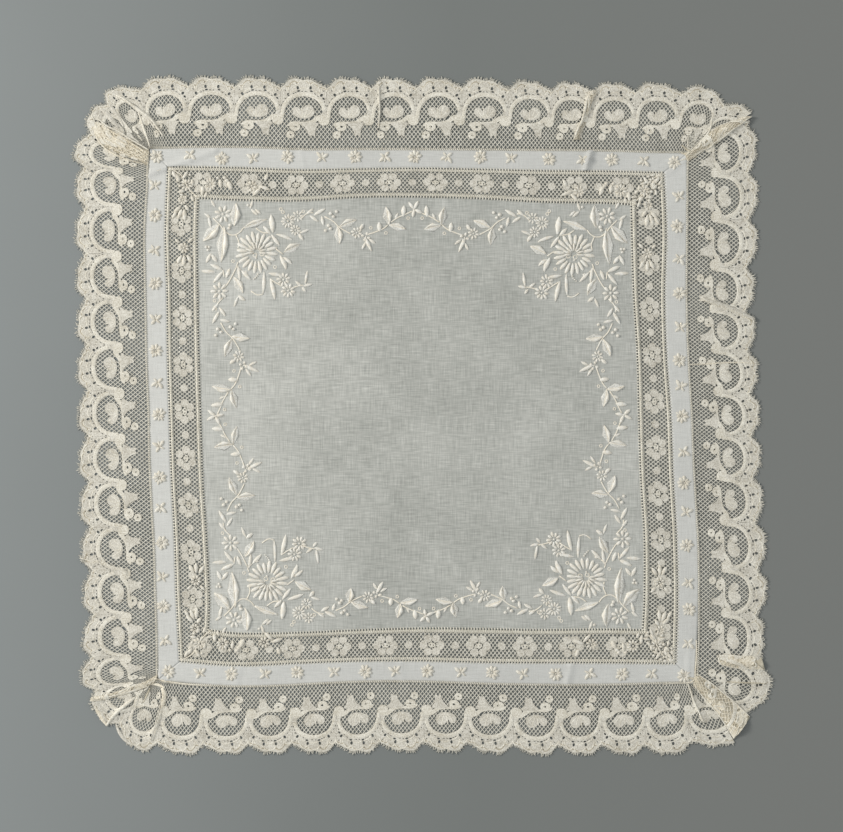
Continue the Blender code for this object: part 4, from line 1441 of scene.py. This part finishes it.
# Rolled edges and creases: width in squares, rise in mm, look (0 folded net, 1 thick thread, 2 dense ground,
# 3 folded ground), places
rolls = (
    (2.2, 0.85, 1, ((98, 119), (101, 121), (107, 126), (120, 132), (127, 137), (142, 146), (149, 150))),
    (3.2, 0.80, 1, ((116, 95), (125, 99.5), (131, 104), (141, 111), (152, 120), (157, 127), (163, 136))),
    (2.6, 0.55, 1, ((138, 111), (141, 120), (143.5, 128), (146, 135), (150, 147))),
    (3.0, 0.35, 2, ((127, 101), (137, 110), (148, 119), (155, 129))),
    (5.5, 0.40, 2, ((100, 108), (106, 113), (112, 120), (119, 128))),
    (4.0, 0.35, 2, ((107, 101), (112, 108), (118, 116), (124, 127))),
    (1.8, 1.00, 3, ((95, 130), (99, 141), (107, 149.5), (121, 157), (147, 165))),
    (1.7, 1.05, 3, ((97.5, 128), (102, 138.5), (111, 146.5), (126, 154), (148, 162))),
    (1.7, 1.10, 3, ((100.5, 127), (106, 136.5), (116, 144), (131, 151.5), (149, 160))),
    (1.7, 1.10, 3, ((103.5, 127), (111, 135), (122, 142), (136, 149.5), (149, 158))),
    (1.7, 1.05, 3, ((107.5, 129), (117, 134.5), (128, 141), (140, 148.5), (150, 156))),
    (1.1, 0.30, 3, ((146, 175.5), (157, 171), (168, 167), (179, 164), (190, 161), (203, 156.5), (216, 151.5))),
    (1.9, 0.45, 3, ((154, 678), (165, 681.2), (175, 682.9), (186, 684.2), (197, 685.0), (210, 685.4))),
    (1.3, 0.45, 3, ((696.5, 640), (696.8, 650), (696.4, 661), (695.6, 671), (694.0, 680.5), (686, 683), (676, 683.4), (664, 684.4))),
    (2.0, 0.60, 1, ((712, 117), (711, 127), (708, 133), (704, 138.5), (699, 143.5), (690, 152))),
    (1.7, 0.95, 1, ((752, 116.5), (745, 121), (740, 125), (733, 129.5), (727, 134.5), (722, 138.5), (715, 142.5),
                    (710, 147.5), (700, 151), (690, 157))),
    (1.3, 0.45, 1, ((748, 117), (738, 119), (729, 122), (720, 125))),
    (2.2, 0.60, 0, ((682, 145), (688, 150), (696, 155))),
    (2.0, 0.60, 0, ((679, 151), (687, 155), (697, 157))),
    (2.0, 0.55, 1, ((681, 160), (689, 158), (700, 152), (708, 145))),
    (1.8, 0.85, 1, ((697, 674), (705, 679), (711, 683), (721, 691), (732, 700), (744, 711), (750, 717))),
    (1.8, 0.85, 1, ((694, 684), (699, 691.5), (704, 698), (710, 704.5), (715, 710.5), (719.5, 716), (727.5, 728), (734, 738.5))),
    (2.2, 0.65, 1, ((688, 684), (691, 692), (694, 702), (698, 710), (704, 723))),
    (2.4, 0.50, 0, ((688, 678), (694, 679), (703, 682), (711, 688))),
    (2.2, 0.60, 1, ((718, 655), (719, 659), (720, 664))),
    (2.0, 0.45, 1, ((720, 664), (730, 667), (741, 668.5), (752, 669), (765, 670))),
    (1.6, 0.45, 0, ((727, 682), (740, 682.5), (752, 683), (766, 683.5))),
    (2.2, 0.60, 1, ((157, 679), (147, 684.5), (141, 688), (133, 691), (124, 693.5), (113, 696), (101, 698.5), (90, 701))),
    (4.2, 0.55, 1, ((136, 697), (128, 703), (117, 712), (112, 718), (106, 726))),
    (5.0, 0.40, 1, ((138, 695), (136.5, 701), (135, 708))),
    (3.8, 0.30, 2, ((116, 725), (119.5, 733), (125, 740), (133, 746))),
    (4.8, 0.13, 3, ((161.5, 688), (164, 693), (163.5, 701), (161, 712))),
    (3.4, 0.13, 3, ((163, 704), (160.5, 713), (158, 722), (155, 732), (152.5, 741))),
    (1.0, 0.30, 1, ((159, 692), (160.5, 701), (158.5, 712), (156, 722), (153, 732), (150, 741))),
    (4.2, 0.18, 3, ((93, 703), (98, 711.5), (102.5, 719.5), (107.5, 726))),
    (3.0, 0.14, 3, ((150, 684), (158, 685), (165, 688))),
    (1.8, 0.45, 0, ((150, 688), (147, 695), (143, 703))),
    (3.0, 0.95, 1, ((574, 139), (577.5, 130), (582.5, 120), (585.5, 107), (588, 97), (593, 90.5))),
    (2.4, 0.75, 2, ((378.5, 84), (379.3, 98), (379.6, 112), (378.5, 128))),
    (4.6, 0.75, 2, ((703, 299), (716, 302.5), (730, 307.5), (742, 313), (755, 319))),
    (1.6, 0.80, 1, ((703, 300.5), (716, 304.5), (730, 309.5), (742, 315), (755, 320.5))),
    (2.0, 0.50, 1, ((716, 479), (730, 481), (745, 483.5), (761, 487))),
    (2.0, 0.45, 1, ((80, 558), (95, 562), (110, 566), (126, 570))),
    (1.2, 0.35, 3, ((690, 364.5), (705, 364), (720, 363), (735, 362.5), (757, 363.5))),
)


def pleatPlace(edges, f, g):
    # plan places in a strip, f along it and g across it
    t = f * (len(edges[0]) - 1)
    low, high = throughPoints(edges[0], t), throughPoints(edges[1], t)
    return low + (high - low) * g[:, None]


def bendStrip(mesh, pleat, f, g, lift):
    co = meshPoints(mesh)
    edges = [[fromChart(*point) for point in pleat[key]] for key in ("first", "second")]
    co[:, :2] = pleatPlace(edges, f, g)
    co[:, 2] += (lift + pleat["dome"] * np.sin(math.pi * np.clip(g, 0.0, 1.0))) * mm
    putPoints(mesh, co)


def makePleats():
    bm = bmesh.new()
    for pleat in pleats.values():
        # a sheet of folded net below, and a strip of the lace over it
        sheet = bmesh.new()
        bmesh.ops.create_grid(sheet, x_segments=pleatCuts["along"], y_segments=pleatCuts["across"], size=0.5)
        wall = bmesh.ops.extrude_face_region(sheet, geom=sheet.faces[:])
        raised = [item for item in wall["geom"] if isinstance(item, bmesh.types.BMVert)]
        bmesh.ops.translate(sheet, verts=raised, vec=(0.0, 0.0, -pleatCuts["thick"] * mm))
        mesh = toMesh(sheet, "pleat")
        co = meshPoints(mesh)
        bendStrip(mesh, pleat, co[:, 0] + 0.5, co[:, 1] + 0.5, pleatCuts["lift"])
        stamp(bm, mesh, None, 0)
        bpy.data.meshes.remove(mesh)
        first, last, start, end = (value * square for value in pleat["lace"])
        strip = straightLace(first, last, -1, 1)
        for place, way in ((min(start, end), -1.0), (max(start, end), 1.0)):
            bmesh.ops.bisect_plane(strip, geom=strip.verts[:] + strip.edges[:] + strip.faces[:], dist=1e-7,
                                   clear_outer=True, plane_co=(0.0, place, 0.0), plane_no=(0.0, way, 0.0))
        mesh = toMesh(strip, "strip")
        co = meshPoints(mesh)
        bendStrip(mesh, pleat, (co[:, 1] - start) / (end - start), (co[:, 0] - first) / (last - first),
                  pleatCuts["lift"] + pleatCuts["strip"])
        firstFace = len(bm.faces)
        bm.from_mesh(mesh)
        bm.faces.ensure_lookup_table()
        for face in bm.faces[firstFace:]:
            face.material_index = (3, 3, 1, 0)[face.material_index]
        bpy.data.meshes.remove(mesh)
    for width, rise, look, places in rolls:
        count = len(places)
        path = []
        for k, point in enumerate(places):
            share = 0.08 + 0.84 * k / (count - 1)
            path.append((*fromChart(*point), 0.0, math.sqrt(math.sin(math.pi * share))))
        mesh = curveMesh([path], width * square, sides=2, smooth=True, steps=6)
        scale = rise * mm / (width * square / 2.0)
        stamp(bm, mesh, lambda co: Vector((co.x, co.y, max(co.z * scale, -0.15 * mm) + 0.12 * mm)), look)
        bpy.data.meshes.remove(mesh)
    bmesh.ops.recalc_face_normals(bm, faces=bm.faces[:])
    mesh = toMesh(bm, "edging_pleats")
    layDown(mesh)
    return newPiece("edging_pleats", mesh, [pleatNet, gimpCotton, toileCotton, foldCotton])


panel = makePanel()
bands = {side: makeBand(side) for side in sideNames}
print("handkerchief: linen is laid")
repeatMesh, repeatFlat = makeRepeat()
repeatTree = BVHTree.FromBMesh(repeatFlat)
laces = {side: makeEdging(side) for side in sideNames}
print("handkerchief: edging is laid")
rosetteMesh = makeRosette()
insertions = {side: makeInsertion(side, rosetteMesh) for side in sideNames}
print("handkerchief: insertion is laid")
embroidery = makePanelEmbroidery()
sprigs = makeBandSprigs()
sprays = makeCornerSprays()
folds = makePleats()
print("handkerchief: embroidery and pleats are laid")

# Each piece rides on the root body, and the plain parts that the pieces stand in for are hidden
for piece, name in [(panel, "linen"), (embroidery, "linen"), (sprigs, "band"), (sprays, "insertion"), (folds, "edging")]:
    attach(piece, "root")
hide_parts("centre_panel")
for side in sideNames:
    for pieces, name, node in (((bands[side],), "band", f"band_{side}"),
                               (insertions[side], "insertion", f"insertion_{side}"),
                               (laces[side], "edging", "lace_edging")):
        for piece in pieces:
            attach(piece, "root")
        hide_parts(node)
        carried = list(pieces[1:]) + ([folds] if pieces[0] is laces["top"][0] else [])
        carried += [sprigs] if pieces[0] is bands["top"] else []
        carried += [sprays] if pieces[0] is insertions["top"][0] else []

for piece in bpy.context.scene.objects:
    if piece.type == "MESH" and not piece.hide_render:
        print("triangles", piece.name, sum(len(face.vertices) - 2 for face in piece.data.polygons))

# Floor, light and camera
floor = {
    "size": 1.6, "roughness": 0.9, "sheen": 0.0,
    # tones from the right hand side to the left: the lighter left is painted light from the lamp
    "tones": ((0.15, (128, 129, 125)), (0.48, (124, 127, 124)), (0.85, (143, 147, 146))),
}
bm = bmesh.new()
bmesh.ops.create_grid(bm, x_segments=2, y_segments=2, size=floor["size"] / 2.0)
ground = newPiece("floor", toMesh(bm, "floor"), [])
material, tree, shader = clothMaterial("floor_paper", floor)
source = addNode(tree, "ShaderNodeTexCoord").outputs["Object"]
grain = scaledNoise(tree, source, (5.0, 5.0, 1.0), 3.0)
across = addNode(tree, "ShaderNodeSeparateXYZ")
tree.links.new(source, across.inputs["Vector"])
# painted light: the floor is made lighter towards the left hand side, standing in for the lamp's fall-off
paintedLightFade = addNode(tree, "ShaderNodeMapRange", {"From Min": 0.25, "From Max": -0.25, "To Min": 0.08, "To Max": 0.92})
tree.links.new(across.outputs["X"], paintedLightFade.inputs["Value"])
tone = mixed(tree, "ADD", mixed(tree, "MULTIPLY", grain, 0.16), mixed(tree, "MULTIPLY", paintedLightFade.outputs["Result"], 0.84))
stops = [(place, colourOf(*colour)) for place, colour in floor["tones"]]
tree.links.new(ramp(tree, tone, stops), shader.inputs["Base Color"])
ground.data.materials.append(material)

light = {"place": (-1.66, 0.50, 1.0), "size": 0.6, "power": 29.5, "fill": 0.58}
lamp = bpy.data.lights.new("window", "AREA")
lamp.shape = "SQUARE"
lamp.size = light["size"]
lamp.energy = light["power"]
lamp.color = (1.0, 0.975, 0.94)
lampObject = bpy.data.objects.new("window", lamp)
lampObject.location = light["place"]
lampObject.rotation_euler = (-Vector(light["place"])).to_track_quat("-Z", "Y").to_euler()
bpy.context.scene.collection.objects.link(lampObject)
world = bpy.data.worlds.new("room")
world.use_nodes = True
world.node_tree.nodes["Background"].inputs["Color"].default_value = (0.93, 0.97, 1.0, 1.0)
world.node_tree.nodes["Background"].inputs["Strength"].default_value = light["fill"]
bpy.context.scene.world = world
bpy.context.scene.view_settings.view_transform = "Standard"

view = {"lens": 85.0, "sensor": 36.0, "width": 843.0}
camera = bpy.data.cameras.new("camera")
camera.lens = view["lens"]
camera.sensor_width = view["sensor"]
camera.clip_start = 0.01
eye = bpy.data.objects.new("camera", camera)
eye.location = (0.1 * mm, 0.0, view["width"] * square * view["lens"] / view["sensor"] + 1.0 * mm)
bpy.context.scene.collection.objects.link(eye)
bpy.context.scene.camera = eye
